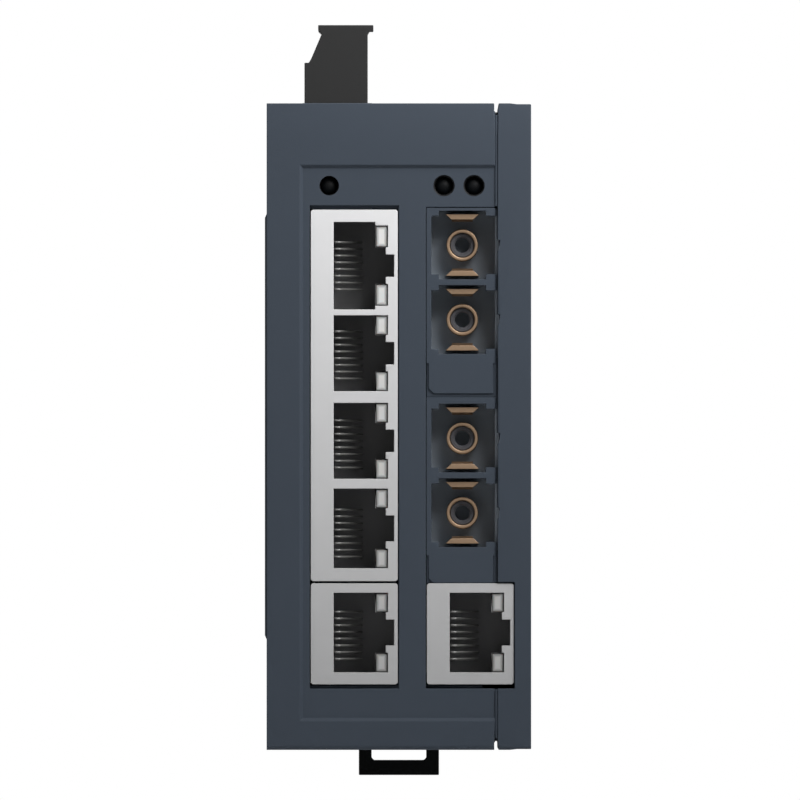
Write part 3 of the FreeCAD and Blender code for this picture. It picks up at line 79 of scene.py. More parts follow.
MM = 0.001
NODES = frame["nodes"]
PAINTED_SHADE_BLACK = (0.0, 0.0, 0.0)
TO_FRONT = (0.0, -1.0, 0.0)
OFF_BOARD = (1.0, 0.0, 0.0)
# Painted shade towards the foot is half done level with the middle of the rail and whole about 45 mm under it.
FOOT_SHADE_MIDDLE = 0.5
FOOT_SHADE_SLOPE = 11.0


def shade(red, green, blue):
    """The linear colour of three screen levels from 0 to 255."""
    levels = [v / 255 for v in (red, green, blue)]
    return tuple(v / 12.92 if v <= 0.04045 else ((v + 0.055) / 1.055) ** 2.4 for v in levels)


def corners(node):
    """The lowest and the highest corner of a CAD node's box."""
    return tuple(Vector(corner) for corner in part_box(node))


def socket_key(word):
    """A node socket's name or number from a keyword: Wire_radius stands for a name and i6 for a number."""
    return int(word[1:]) if word[1:].isdigit() else word.replace("_", " ")


# ---------------------------------------------------------------- materials


class Amount:
    """A number inside a material, which Python's operators turn into Math nodes."""

    def __init__(self, finish, socket):
        self.finish = finish
        self.socket = socket

    def maths(self, operation, *terms, clamp=False):
        """One Math node over the terms."""
        node = self.finish.tree.nodes.new("ShaderNodeMath")
        node.operation = operation
        node.use_clamp = clamp
        for entry, term in zip(node.inputs, terms):
            self.finish.feed(entry, term)
        return Amount(self.finish, node.outputs[0])

    def __add__(self, other):
        return self.maths("ADD", self, other)

    def __radd__(self, other):
        return self.maths("ADD", other, self)

    def __sub__(self, other):
        return self.maths("SUBTRACT", self, other)

    def __rsub__(self, other):
        return self.maths("SUBTRACT", other, self)

    def __mul__(self, other):
        return self.maths("MULTIPLY", self, other)

    def __rmul__(self, other):
        return self.maths("MULTIPLY", other, self)

    def __truediv__(self, other):
        return self.maths("DIVIDE", self, other)

    def __rtruediv__(self, other):
        return self.maths("DIVIDE", other, self)

    def __gt__(self, other):
        return self.maths("GREATER_THAN", self, other)

    def __lt__(self, other):
        return self.maths("LESS_THAN", self, other)

    def __abs__(self):
        return self.maths("ABSOLUTE", self)

    def wrapped(self, step):
        """This value folded into 0 to step."""
        return self.maths("WRAP", self, step, 0.0)

    def held(self):
        """This value held between 0 and 1."""
        return self.maths("ADD", self, 0.0, clamp=True)


class Finish:
    """One material, its shader and the calls that build its nodes."""

    def __init__(self, name, **constants):
        self.material = bpy.data.materials.new(name)
        self.material.use_nodes = True
        self.tree = self.material.node_tree
        self.shader = self.tree.nodes["Principled BSDF"]
        self.into(**constants)
        self.place = self.node("ShaderNodeTexCoord", out="Object")

    def feed(self, entry, term):
        """Links a value into a socket, or writes a plain number there."""
        if isinstance(term, Amount):
            self.tree.links.new(term.socket, entry)
        else:
            entry.default_value = term

    def node(self, kind, settings=None, out=0, **terms):
        """A node of any other kind: its settings first, then its sockets, and one output back."""
        made = self.tree.nodes.new(kind)
        for word, value in (settings or {}).items():
            setattr(made, word, value)
        for word, term in terms.items():
            self.feed(made.inputs[socket_key(word)], term)
        return Amount(self, made.outputs[out])

    def into(self, **terms):
        """Feeds the shader's own sockets."""
        for word, term in terms.items():
            self.feed(self.shader.inputs[word.replace("_", " ")], term)

    def axis(self, name):
        """One of the object's coordinates, in metres."""
        return self.node("ShaderNodeSeparateXYZ", out=name, Vector=self.place)

    def noise(self, size, detail=3.0, stretch=(1, 1, 1), seed=0.0, roughness=0.55):
        """Noise whose features are about size metres across."""
        spread = self.node(
            "ShaderNodeMapping", out="Vector", Vector=self.place, Scale=stretch, Location=(seed, seed, seed)
        )
        return self.node(
            "ShaderNodeTexNoise", out="Fac", Vector=spread, Scale=1 / size, Detail=detail, Roughness=roughness
        )

    def cells(self, size):
        """Distance to the nearest of scattered points, about size metres apart."""
        return self.node("ShaderNodeTexVoronoi", out="Distance", Vector=self.place, Scale=1 / size)

    def worn(self, spread=0.12 * MM):
        """Near 1 along sharp outer edges and 0 on flats."""
        inside = self.node(
            "ShaderNodeAmbientOcclusion", {"samples": 4, "inside": True}, out="AO", Distance=spread
        )
        return (1 - inside).held()

    def blend(self, amount, first, second):
        """Two colours mixed by a value, in the Mix node's sockets for colours."""
        first, second = (c if isinstance(c, Amount) else (*c, 1.0) for c in (first, second))
        return self.node("ShaderNodeMix", {"data_type": "RGBA"}, out=2, i0=amount, i6=first, i7=second)

    def painted_foot_shade(self, share, colour):
        """Painted shade: a colour darkened by a share towards the foot of the switch, as if less light fell there.
        """
        # Painted shade: the share of darkening grows from the middle of the rail down to the foot.
        low = (FOOT_SHADE_MIDDLE - self.axis("Z") * FOOT_SHADE_SLOPE).held()
        return self.blend(low * share, colour, PAINTED_SHADE_BLACK)

    def relief(self, height, depth):
        """Bumps the surface by a height value whose full swing is depth metres."""
        self.into(Normal=self.node("ShaderNodeBump", out="Normal", Height=height, Distance=depth, Strength=1.0))


def moulded(name, colour, grain=0.16 * MM, gloss=(0.5, 0.66), edge=0.25, specular=0.35):
    """Moulded plastic: a fine grain, a cloudy sheen and paler, smoother corners."""
    finish = Finish(name, IOR=1.46, Specular_IOR_Level=specular)
    grit = finish.noise(grain, detail=2.0, roughness=0.7)
    cloud = finish.noise(9 * MM, detail=3.0, seed=3.1)
    worn = finish.worn()
    deeper = [c * 0.9 for c in colour]
    brighter = [min(1.0, c * 1.1) for c in colour]
    corner = [min(1.0, c * 1.5 + 0.01) for c in colour]
    dull, shiny = gloss[0], gloss[1] - gloss[0]
    finish.into(
        Base_Color=finish.blend(worn * edge, finish.blend(cloud * 0.5 + grit * 0.25, deeper, brighter), corner),
        Roughness=dull + shiny * cloud - worn * 0.08,
    )
    finish.relief(grit + cloud * 0.6, 0.012 * MM)
    return finish.material


def plated(name, colour, rough=0.34, patch=0.07, tarnish=0.12, metal=1.0, foot_shade=0.0):
    """Plated sheet or wire: a fine grain, soft patches, a little tarnish, and painted shade towards the foot where
    asked.
    """
    finish = Finish(name, Metallic=metal)
    grit = finish.noise(0.12 * MM, detail=2.0, roughness=0.65)
    cloud = finish.noise(6 * MM, detail=4.0, seed=1.7)
    dull = [c * (1 - tarnish) for c in colour]
    finish.into(
        Base_Color=finish.painted_foot_shade(foot_shade, finish.blend(cloud * 0.6 + grit * 0.3, colour, dull)),
        Roughness=rough + patch * (cloud - 0.5) + 0.05 * (grit - 0.5),
    )
    finish.relief(grit, 0.004 * MM)
    return finish.material


def board_mask(name, colour, copper):
    """Solder mask over copper: fields of track that catch the light and a weave under the lacquer."""
    finish = Finish(name, IOR=1.5, Specular_IOR_Level=0.45, Coat_Weight=0.3)
    bend = finish.noise(6 * MM, detail=0.0, seed=5.0) * (1.6 * MM)
    rows = abs(((finish.axis("Z") + bend) / (1.1 * MM)).wrapped(1.0) - 0.5) < 0.2
    columns = abs(((finish.axis("Y") + bend) / (1.3 * MM)).wrapped(1.0) - 0.5) < 0.18
    field = finish.noise(11 * MM, detail=1.0, seed=2.0)
    track = rows * (field > 0.52) + columns * (field < 0.47)
    weave = finish.noise(0.4 * MM, detail=1.0, stretch=(1, 1, 0.4))
    laid = finish.blend(track.held() * 0.6, colour, copper)
    finish.into(
        Base_Color=finish.blend(weave * 0.2, laid, [c * 0.6 for c in colour]),
        Roughness=0.32 + 0.12 * weave,
    )
    finish.relief(track + weave * 0.2, 0.03 * MM)
    return finish.material


def smoked(name, colour):
    """A smoked lens: dark, half matt and faintly streaked."""
    finish = Finish(name, IOR=1.5, Specular_IOR_Level=0.12)
    streak = finish.noise(0.7 * MM, detail=3.0, stretch=(1, 0.3, 1))
    finish.into(
        Base_Color=finish.blend(streak, colour, [c * 2.2 for c in colour]),
        Roughness=0.5 + 0.1 * streak,
    )
    finish.relief(streak, 0.01 * MM)
    return finish.material


def milky(name, colour, rim, foot_shade):
    """A milky light window: pale and waxy, with painted shade that greys its rim, where the attribute
    painted_centre_light falls to 0, a painted highlight in its middle, and painted shade low down.
    """
    finish = Finish(
        name, IOR=1.49, Subsurface_Weight=0.15, Subsurface_Scale=0.6 * MM, Specular_IOR_Level=0.3
    )
    cloud = finish.noise(1.1 * MM, detail=3.0)
    painted_centre_light = finish.node("ShaderNodeAttribute", {"attribute_name": "painted_centre_light"}, out="Fac")
    finish.into(
        # Painted shade greys the rim and the lower windows, and painted light brightens the centre.
        Base_Color=finish.painted_foot_shade(foot_shade, finish.blend((painted_centre_light + cloud * 0.1).held(), rim, colour)),
        Roughness=0.36 + 0.2 * cloud,
    )
    finish.relief(finish.noise(0.25 * MM, detail=1.0), 0.008 * MM)
    return finish.material


def ceramic(name, colour):
    """Fired ceramic: pale, close-grained and half gloss."""
    finish = Finish(name, IOR=1.6, Specular_IOR_Level=0.5)
    speck = finish.cells(0.3 * MM)
    cloud = finish.noise(2 * MM, detail=3.0)
    finish.into(
        Base_Color=finish.blend(cloud * 0.5 + speck * 0.3, colour, [c * 0.86 for c in colour]),
        Roughness=0.28 + 0.2 * cloud,
    )
    finish.relief(speck, 0.006 * MM)
    return finish.material


def drawn_can(name, line, colour):
    """Plain drawn aluminium with fine lines round it."""
    finish = Finish(name, Metallic=1.0)
    lines = finish.noise(0.25 * MM, detail=2.0, stretch=(8, 0.5, 8))
    finish.into(
        Base_Color=finish.blend(lines, colour, line),
        Roughness=0.3 + 0.15 * lines,
    )
    finish.relief(lines, 0.005 * MM)
    return finish.material


# ---------------------------------------------------------------- repeated parts


class Recipe:
    """A geometry node group with named inputs, and the calls that build its nodes."""

    KINDS = {float: "NodeSocketFloat", int: "NodeSocketInt", tuple: "NodeSocketVector"}

    def __init__(self, name):
        self.group = bpy.data.node_groups.new(name, "GeometryNodeTree")
        for side in ("INPUT", "OUTPUT"):
            self.group.interface.new_socket("Geometry", in_out=side, socket_type="NodeSocketGeometry")
        self.entries = self.group.nodes.new("NodeGroupInput")
        self.result = self.group.nodes.new("NodeGroupOutput")
        self.base = self.entries.outputs["Geometry"]
        self.values = {}

    def entry(self, name, value):
        """One named input of the group, of the value's own type, with the value kept for the modifier."""
        made = self.group.interface.new_socket(name, in_out="INPUT", socket_type=self.KINDS[type(value)])
        made.default_value = value
        self.values[made.identifier] = value
        return self.entries.outputs[name]

    def node(self, kind, settings=None, **terms):
        """A node: its settings, then its sockets from other outputs or plain values, and its first output back."""
        made = self.group.nodes.new(kind)
        for word, value in (settings or {}).items():
            setattr(made, word, value)
        for word, term in terms.items():
            entry = made.inputs[socket_key(word)]
            if isinstance(term, bpy.types.NodeSocket):
                self.group.links.new(term, entry)
            else:
                entry.default_value = term
        return made.outputs[0]

    def joined(self, *parts):
        """Several geometries as one."""
        made = self.group.nodes.new("GeometryNodeJoinGeometry")
        for part in parts:
            self.group.links.new(part, made.inputs[0])
        return made.outputs[0]

    def drawn(self, path, radius, sides=10):
        """A round wire of the given radius along curves."""
        ring = self.node("GeometryNodeCurvePrimitiveCircle", {"mode": "RADIUS"}, Resolution=sides, Radius=radius)
        return self.node("GeometryNodeCurveToMesh", Curve=path, Profile_Curve=ring, Fill_Caps=True)

    def repeated(self, shape, count, step):
        """Copies of a shape in a row."""
        row = self.node("GeometryNodeMeshLine", {"mode": "OFFSET"}, Count=count, Offset=step)
        return self.node("GeometryNodeInstanceOnPoints", Points=row, Instance=shape)

    def grown(self, name, mesh, material, shape, sharp=40.0):
        """Runs the recipe on a mesh and hands back a plain mesh, sharp past an angle in degrees."""
        real = self.node("GeometryNodeRealizeInstances", Geometry=shape)
        smooth = self.node("GeometryNodeSetShadeSmooth", Geometry=real)
        done = self.node("GeometryNodeSetMaterial", Geometry=smooth, Material=material)
        self.group.links.new(done, self.result.inputs["Geometry"])
        worker = bpy.data.objects.new(name + "_worker", mesh)
        bpy.context.scene.collection.objects.link(worker)
        modifier = worker.modifiers.new("Recipe", "NODES")
        modifier.node_group = self.group
        for identifier, value in self.values.items():
            modifier[identifier] = value
        result = baked(worker, name)
        result.set_sharp_from_angle(angle=math.radians(sharp))
        return result


def strands(name, *chains):
    """A mesh of open chains of points, for a recipe to turn into wires."""
    form = bmesh.new()
    for chain in chains:
        points = [form.verts.new(point) for point in chain]
        for pair in zip(points, points[1:]):
            form.edges.new(pair)
    return as_mesh(form, name)


# ---------------------------------------------------------------- meshes


def piece(name, mesh, body, material=None, replaced=()):
    """Puts a finished mesh in the scene as one piece that rides on a body; with no material it keeps its own."""
    made = bpy.data.objects.new(name, mesh)
    bpy.context.scene.collection.objects.link(made)
    if material is not None:
        mesh.materials.clear()
        mesh.materials.append(material)
    if replaced:
        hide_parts(*replaced)
    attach(made, body)
    return made


def stand_in(name, mesh, node, material=None):
    """A finished mesh as the piece that stands for a CAD node, on its body."""
    return piece(name, mesh, body_of(node), material, (node,))


def body_of(node):
    """The body that a CAD node rides on."""
    return NODES[node]["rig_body"]


def merged(node):
    """A copy of a CAD node's mesh with its loose triangles joined and its flats made whole."""
    doubled, flat = 2e-7, math.radians(0.7)
    form = bmesh.new()
    form.from_mesh(NODES[node].data)
    bmesh.ops.remove_doubles(form, verts=form.verts, dist=doubled)
    bmesh.ops.join_triangles(
        form, faces=form.faces, angle_face_threshold=flat, angle_shape_threshold=math.pi,
        cmp_seam=False, cmp_sharp=False, cmp_uvs=False, cmp_vcols=False, cmp_materials=False,
    )
    for face in form.faces:
        face.smooth = True
        face.material_index = 0
    return form


def as_mesh(form, name):
    """A plain mesh from a bmesh."""
    mesh = bpy.data.meshes.new(name)
    form.to_mesh(mesh)
    form.free()
    return mesh


def baked(worker, name):
    """The mesh that a worker object's modifiers give, with the worker removed."""
    bpy.context.view_layer.update()
    graph = bpy.context.evaluated_depsgraph_get()
    mesh = bpy.data.meshes.new_from_object(worker.evaluated_get(graph))
    mesh.name = name
    source = worker.data
    bpy.data.objects.remove(worker)
    bpy.data.meshes.remove(source)
    return mesh


def softened(form, name, width, segments=2, sharpest=35.0, shortest=0.0):
    """Rounds a form's edges by width where two faces meet at more than an angle; shorter ones stay sharp."""
    limit = math.radians(sharpest)
    least = max(shortest, width / 2)
    layer = form.edges.layers.float.get("bevel_weight_edge") or form.edges.layers.float.new("bevel_weight_edge")
    for edge in form.edges:
        folded = len(edge.link_faces) == 2 and edge.calc_face_angle(0.0) > limit
        rounded = folded and edge.calc_length() > least
        edge[layer] = 1.0 if rounded else 0.0
        edge.smooth = rounded or not folded
    worker = bpy.data.objects.new(name + "_worker", as_mesh(form, name + "_rough"))
    bpy.context.scene.collection.objects.link(worker)
    bevel = worker.modifiers.new("Rounding", "BEVEL")
    bevel.width = width
    bevel.segments = segments
    bevel.limit_method = "WEIGHT"
    bevel.use_clamp_overlap = False
    bevel.miter_outer = "MITER_SHARP"
    evened = worker.modifiers.new("Evened", "WEIGHTED_NORMAL")
    evened.keep_sharp = True
    evened.weight = 100
    return baked(worker, name)


def dressed(name, node, width, material, segments=2, shortest=0.0):
    """A CAD node's form with rounded edges, standing for the node; edges under the shortest length stay sharp."""
    return stand_in(name, softened(merged(node), name, width, segments, shortest=shortest), node, material)


def coated(material, *nodes):
    """Gives carried-over CAD nodes their finish."""
    for node in nodes:
        NODES[node].data.materials.clear()
        NODES[node].data.materials.append(material)


def block(form, low, high):
    """Adds a block between two corners and hands back its vertices."""
    made = bmesh.ops.create_cube(form, size=1.0)["verts"]
    for vert in made:
        vert.co = Vector((low[axis] + (vert.co[axis] + 0.5) * (high[axis] - low[axis]) for axis in range(3)))
    return made


def turned(profile, centre, axis, steps):
    """A lathe-turned form: profile is a list of radius and distance pairs along the axis from the centre."""
    form = bmesh.new()
    forward = Vector(axis)
    side = forward.orthogonal().normalized()
    other = forward.cross(side)
    rings = []
    for radius, along in profile:
        ring = []
        for step in range(steps if radius else 1):
            turn = 2 * math.pi * step / steps
            arm = (side * math.cos(turn) + other * math.sin(turn)) * radius
            ring.append(form.verts.new(Vector(centre) + forward * along + arm))
        rings.append(ring)
    for lower, upper in zip(rings, rings[1:]):
        for step in range(steps):
            after = step + 1
            around = [(lower, step), (lower, after), (upper, after), (upper, step)]
            face = list(dict.fromkeys(ring[place % len(ring)] for ring, place in around))
            if len(face) > 2:
                form.faces.new(face)
    return form


def lathe_piece(name, node, profile, material, axis=TO_FRONT, steps=48, sharp=40.0):
    """A lathe-turned form that stands for a CAD node, from the end of its box where the axis starts."""
    low, high = corners(node)
    centre = [(low[n] + high[n]) / 2 if way == 0 else (low if way > 0 else high)[n] for n, way in enumerate(axis)]
    form = turned(profile, centre, axis, steps)
    bmesh.ops.remove_doubles(form, verts=form.verts, dist=1e-7)
    bmesh.ops.recalc_face_normals(form, faces=form.faces)
    for face in form.faces:
        face.smooth = True
    mesh = as_mesh(form, name)
    mesh.set_sharp_from_angle(angle=math.radians(sharp))
    return stand_in(name, mesh, node, material)


def islands(node):
    """The lowest and highest corner of every loose part of a CAD node, in the order of its vertices."""
    form = merged(node)
    done = set()
    boxes = []
    for start in form.verts:
        if start in done:
            continue
        island = edge = {start}
        while edge:
            edge = {link.other_vert(vert) for vert in edge for link in vert.link_edges} - island
            island = island | edge
        done |= island
        boxes.append([Vector(limit(vert.co[n] for vert in island) for n in range(3)) for limit in (min, max)])
    form.free()
    return boxes


# ---------------------------------------------------------------- sizes and colours


def length(name, text, value, low=0.0, high=2 * MM):
    """A length property in metres."""
    return FloatProperty(
        name=name, description=text, default=value, min=low, max=high, subtype="DISTANCE", unit="LENGTH", precision=5
    )


def colour(name, text, value):
    """A colour property in linear light."""
    return FloatVectorProperty(
        name=name, description=text, default=value, min=0.0, max=1.0, size=3, subtype="COLOR"
    )


def level(name, text, value, high=5.0, unit="NONE"):
    """A plain number property, such as a lamp's power."""
    return FloatProperty(name=name, description=text, default=value, min=0.0, max=high, unit=unit)


class SwitchCaseSettings(bpy.types.PropertyGroup):
    """Colours of the plastic parts and the rounding of their edges."""

    shell: colour("Shell", "Anthracite of the housing and its side cover", shade(51, 58, 67))
    latch: colour("Foot", "Black of the rail latch", shade(7, 9, 10))
    plug: colour("Plug", "Dark grey of the pluggable terminal", shade(29, 29, 29))
    header: colour("Header", "Dark grey of the header under the terminal", shade(33, 34, 35))
    lens: colour("Status lights", "Smoked black of the status lights", shade(1, 2, 3))
    holder: colour("Light holders", "Black of the blocks that hold the status lights", shade(30, 31, 33))
    edge: length("Edge radius", "Rounding of the moulded case's edges", 0.15 * MM)
    bezel_edge: length("Bezel radius", "Rounding of the port bezels' edges", 0.1 * MM)
    small_edge: length("Small radius", "Rounding of the terminal's, lights' and fibre modules' edges", 0.12 * MM)
    sharp_below: length("Shortest rounded edge", "Edges of the case shorter than this stay sharp", 0.7 * MM)


class SwitchMetalSettings(bpy.types.PropertyGroup):
    """Port colours, metal colours and wire sizes."""

    jack: colour("Jack shields", "Matt nickel of the copper ports", shade(204, 204, 205))
    fold: length("Shield fold", "Rounding of the shields' edges", 0.1 * MM)
    insert: colour("Jack insert", "Black of the mouldings inside the copper ports", shade(122, 122, 123))
    window: colour("Light window", "Milky grey of the copper ports' light windows", shade(203, 203, 202))
    # Painted shade: the rims' grey stands for the shade at the edges of each window's recess.
    window_rim_shade: colour("Window edge", "Grey of the windows' rims", shade(104, 105, 104))
    bronze: colour("Fibre ports", "Dark bronze of the fibre ports' barrels and clips", shade(140, 118, 97))
    sleeve: colour("Sleeve", "Grey of the sleeves inside the barrels", shade(76, 76, 80))
    # Painted light: the modules' grey is much paler than their real dark grey, so that the deep port recesses look
    # lit.
    module: colour("Fibre module", "Dark grey of the modules behind the fibre ports", shade(138, 146, 155))
    contacts: colour("Contacts", "Plating of the jack wires", shade(116, 116, 114))
    zinc: colour("Zinc steel", "Zinc plate of the screws and cages", shade(190, 192, 196))
    tin: colour("Bright tin", "Tin of the terminal's contacts and pins", shade(204, 205, 205))
    spring: colour("Spring steel", "Steel of the latch spring", shade(180, 182, 186))
    wire: length("Contact wire", "Diameter of one jack wire", 0.4 * MM, 0.1 * MM)
    bend: length("Wire bend", "Radius of the jack wires' front bend", 0.35 * MM, 0.1 * MM)
    spring_wire: length("Spring wire", "Diameter of the latch spring's wire", 0.32 * MM, 0.1 * MM)
    spring_turns: IntProperty(
        name="Spring turns", description="Working turns of the latch spring", default=5, min=3, max=20
    )


class SwitchBoardSettings(bpy.types.PropertyGroup):
    """Colours of the circuit boards and what stands on them."""

    mask: colour("Solder mask", "Green of the circuit boards", shade(20, 84, 46))
    track: colour("Tracks", "Paler green over the copper tracks", shade(44, 118, 66))
    connector: colour("Connectors", "Black of the connector between the boards", shade(30, 31, 33))
    package: colour("Chips", "Black of the chips, magnetics and inductor", shade(30, 30, 31))
    lead: colour("Leads", "Tin of the chips' leads and the crystal's can", shade(200, 201, 203))
    fuse: colour("Fuse", "Pale ceramic of the input fuse", shade(220, 218, 210))
    can: colour("Cans", "Aluminium of the capacitors", shade(200, 202, 206))
    can_line: colour("Can lines", "Darker lines round the capacitors", shade(170, 172, 176))
    small: colour("Small parts", "Brown of the smallest parts", shade(64, 52, 42))


class SwitchStageSettings(bpy.types.PropertyGroup):
    """Camera, lamps and floor."""

    reach: length("Camera distance", "Distance from the camera to the front of the switch", 6.0, 1.0, 20.0)
    drop: length("Camera drop", "How far the camera sits below the middle of the view", 35 * MM, -1.0, 1.0)
    across: length("View width", "Width of the view at the front of the switch", 136.08 * MM, 10 * MM, 1.0)
    floor: colour("Floor", "Pale floor under the switch", shade(238, 238, 238))
    ambient: level("Ambient", "Strength of the soft light from all round", 0.12)
    key: level("Key lamp", "Power of the lamp at the upper right", 0.28, 100.0, "POWER")
    fill: level("Fill lamp", "Power of the soft lamps at the sides and back", 1.95, 100.0, "POWER")


# ---------------------------------------------------------------- pieces


def seam_strips(material):
    """A thin lip that closes the seam between the housing and its cover, above and below the ports."""
    cover, bezel, jack = corners("side_cover"), corners("fibre_bezel_upper"), corners("right_jack_shield")
    middle = bezel[1].x - 0.115 * MM
    width, sunk, deep, reach = 0.38 * MM, 0.25 * MM, 1.0 * MM, 53.0 * MM
    over_bezel, under_jack = 0.3 * MM, 0.8 * MM
    front = cover[0].y + sunk
    form = bmesh.new()
    for start, end in ((bezel[1].z + over_bezel, reach), (-reach, jack[0].z - under_jack)):
        block(form, (middle - width / 2, front, start), (middle + width / 2, front + deep, end))
    mesh = softened(form, "seam_strips", 0.08 * MM)
    return piece(mesh.name, mesh, body_of("housing_body"), material)


class SWITCH_OT_case(bpy.types.Operator):
    """Rounds the housing, its side cover and the bezels and gives them their moulded grain"""

    bl_idname = "rail_switch.case"
    bl_label = "Case"

    def execute(self, context):
        values = context.scene.switch_case
        shell = moulded("anthracite_moulding", values.shell, gloss=(0.55, 0.7), specular=0.18)
        for node in ("housing_body", "side_cover"):
            dressed("rounded_" + node, node, values.edge, shell, shortest=values.sharp_below)
        for node in ("fibre_bezel_upper", "fibre_bezel_lower"):
            dressed("rounded_" + node, node, values.bezel_edge, shell)
        seam_strips(shell)
        return {"FINISHED"}


def contact_rows(jack, ports, wire, bend, material):
    """Round bent wires, eight to a port, from the cavity's floor round the front bend and back to their tips."""
    wires = 8
    node = jack + "_jack_contacts"
    low, high = corners(node)
    radius = wire / 2
    single = corners("left_jack_contacts" if ports > 1 else node)
    tall = single[1].z - single[0].z
    pitch = (tall - wire) / (wires - 1)
    step = (high.z - low.z - tall) / max(1, ports - 1)
    floor, front = low.x + radius, low.y + radius
    tip = low.y + 0.72 * (high.y - low.y)
    chains = []
    for port in range(ports):
        z = high.z - radius - port * step
        foot = floor + 2.4 * bend
        chains.append([(floor, high.y - radius, z), (floor, front, z), (foot, front, z), (high.x - radius, tip, z)])
    recipe = Recipe(jack + "_wires")
    curve = recipe.node("GeometryNodeMeshToCurve", Mesh=recipe.base)
    eased = recipe.node(
        "GeometryNodeFilletCurve", {"mode": "POLY"}, Curve=curve, Count=5, Limit_Radius=True,
        Radius=recipe.entry("Bend radius", bend),
    )
    row = recipe.drawn(eased, recipe.entry("Wire radius", radius))
    rows = recipe.repeated(row, recipe.entry("Wires", wires), recipe.entry("Step", (0.0, 0.0, -pitch)))
    mesh = recipe.grown(jack + "_contact_wires", strands(jack, *chains), material, rows)
    return stand_in(mesh.name, mesh, node)


def window_row(jack, material):
    """Light windows with rounded edges, in the places of the CAD's plain ones, with painted light that is brightest
    at the centre and falls at the rim.
    """
    node = jack + "_jack_lenses"
    insets = (0.3 * MM, 0.3 * MM, 0.25 * MM)
    rounding = 0.12 * MM
    form = bmesh.new()
    # Painted light mask: 0 at each window's rim, rising to 1 at its centre.
    painted_centre_light = form.verts.layers.float.new("painted_centre_light")
    for low, high in islands(node):
        made = block(form, low, high)
        edges = dict.fromkeys(edge for vert in made for edge in vert.link_edges)
        front = next(face for vert in made for face in vert.link_faces if face.normal.y < -0.9)
        for ring, inset in enumerate(insets, 1):
            bmesh.ops.inset_individual(form, faces=[front], thickness=inset, depth=0.0)
            for vert in front.verts:
                vert[painted_centre_light] = ring / len(insets)
        sharp = [edge for edge in edges if edge.is_valid]
        bmesh.ops.bevel(form, geom=sharp, offset=rounding, segments=2, affect="EDGES", profile=0.5)
    for face in form.faces:
        face.smooth = True
    mesh = as_mesh(form, jack + "_windows")
    mesh.set_sharp_from_angle(angle=math.radians(50.0))
    return stand_in(mesh.name, mesh, node, material)


class SWITCH_OT_jacks(bpy.types.Operator):
    """Folds the jack shields' edges, rounds the light windows and bends the contact wires"""

    bl_idname = "rail_switch.jacks"
    bl_label = "Copper ports"

    def execute(self, context):
        values = context.scene.switch_metal
        # The shields carry painted shade that darkens them towards the foot.
        sheet = plated("matt_nickel", values.jack, rough=0.48, patch=0.05, tarnish=0.08, metal=0.1, foot_shade=0.48)
        black = moulded("black_insert", values.insert, grain=0.12 * MM, gloss=(0.5, 0.62), specular=0.25)
        # The windows carry painted shade at their rims and low down, and a painted highlight at their centres.
        window = milky("milky_window", values.window, values.window_rim_shade, foot_shade=0.45)
        contacts = plated("contact_plating", values.contacts, rough=0.5, tarnish=0.2, metal=0.4)
        for jack, ports in (("gang", 4), ("left", 1), ("right", 1)):
            dressed(jack + "_folded_shield", jack + "_jack_shield", values.fold, sheet)
            dressed(jack + "_eased_insert", jack + "_jack_insert", 0.08 * MM, black)
            window_row(jack, window)
            contact_rows(jack, ports, values.wire, values.bend, contacts)
        return {"FINISHED"}


def barrel_ring(number, bronze):
    """A turned nose with a rounded lip, standing for its plain tube."""
    node = f"port_barrel_{number}"
    low, high = corners(node)
    outer, deep = (high.x - low.x) / 2, high.y - low.y
    inner = outer * 0.765
    curl, steps = 0.18 * MM, 4
    profile = [(inner, 0.0), (outer, 0.0)]
    for side, radius in ((1, outer - curl), (-1, inner + curl)):
        for step in range(steps + 1):
            angle = math.pi / 2 * (step if side > 0 else steps - step) / steps
            profile.append((radius + side * curl * math.cos(angle), deep - curl + curl * math.sin(angle)))
    profile.append((inner, 0.0))
    return lathe_piece(f"turned_barrel_{number}", node, profile, bronze, steps=64)


def sleeve_tube(number, material):
    """The sleeve inside a barrel, with a flared mouth for the ferrule."""
    node = f"ferrule_sleeve_{number}"
    low, high = corners(node)
    outer, deep = (high.x - low.x) / 2, high.y - low.y
    bore, flare, corner = 1.25 * MM, 0.3 * MM, 0.1 * MM
    profile = [(bore, 0.0), (outer, 0.0), (outer, deep - corner), (outer - corner, deep)]
    profile += [(bore + flare, deep), (bore, deep - flare), (bore, 0.0)]
    return lathe_piece(f"flared_sleeve_{number}", node, profile, material, sharp=30.0)


class SWITCH_OT_fibre_ports(bpy.types.Operator):
    """Turns the fibre ports' barrels and sleeves and finishes their clips and modules"""

    bl_idname = "rail_switch.fibre_ports"
    bl_label = "Fibre ports"

    def execute(self, context):
        values = context.scene.switch_metal
        small_edge = context.scene.switch_case.small_edge
        bronze = plated("dark_bronze", values.bronze, rough=0.46, tarnish=0.15)
        sleeve = moulded("grey_ceramic", values.sleeve, grain=0.1 * MM, gloss=(0.5, 0.6), specular=0.25)
        # The module finish's pale grey is painted light for the deep port recesses.
        module = moulded("module_moulding", values.module, gloss=(0.5, 0.65), specular=0.25)
        for place in ("upper", "lower"):
            dressed("eased_transceiver_" + place, "transceiver_" + place, small_edge, module)
        for number in range(1, 5):
            barrel_ring(number, bronze)
            sleeve_tube(number, sleeve)
            dressed(f"eased_clip_{number}", f"port_clip_{number}", 0.05 * MM, bronze)
        return {"FINISHED"}


def light_dome(node, material):
    """A status light: a short rod that ends in a dome."""
    low, high = corners(node)
    radius, deep = (high.x - low.x) / 2, high.y - low.y
    dome, steps = 0.75 * radius, 9
    profile = [(0.0, 0.0), (radius, 0.0), (radius, deep - dome)]
    for step in range(1, steps + 1):
        angle = math.pi / 2 * step / steps
        profile.append((radius * math.cos(angle), deep - dome + dome * math.sin(angle)))
    profile.append((0.0, deep))
    return lathe_piece("domed_" + node, node, profile, material)


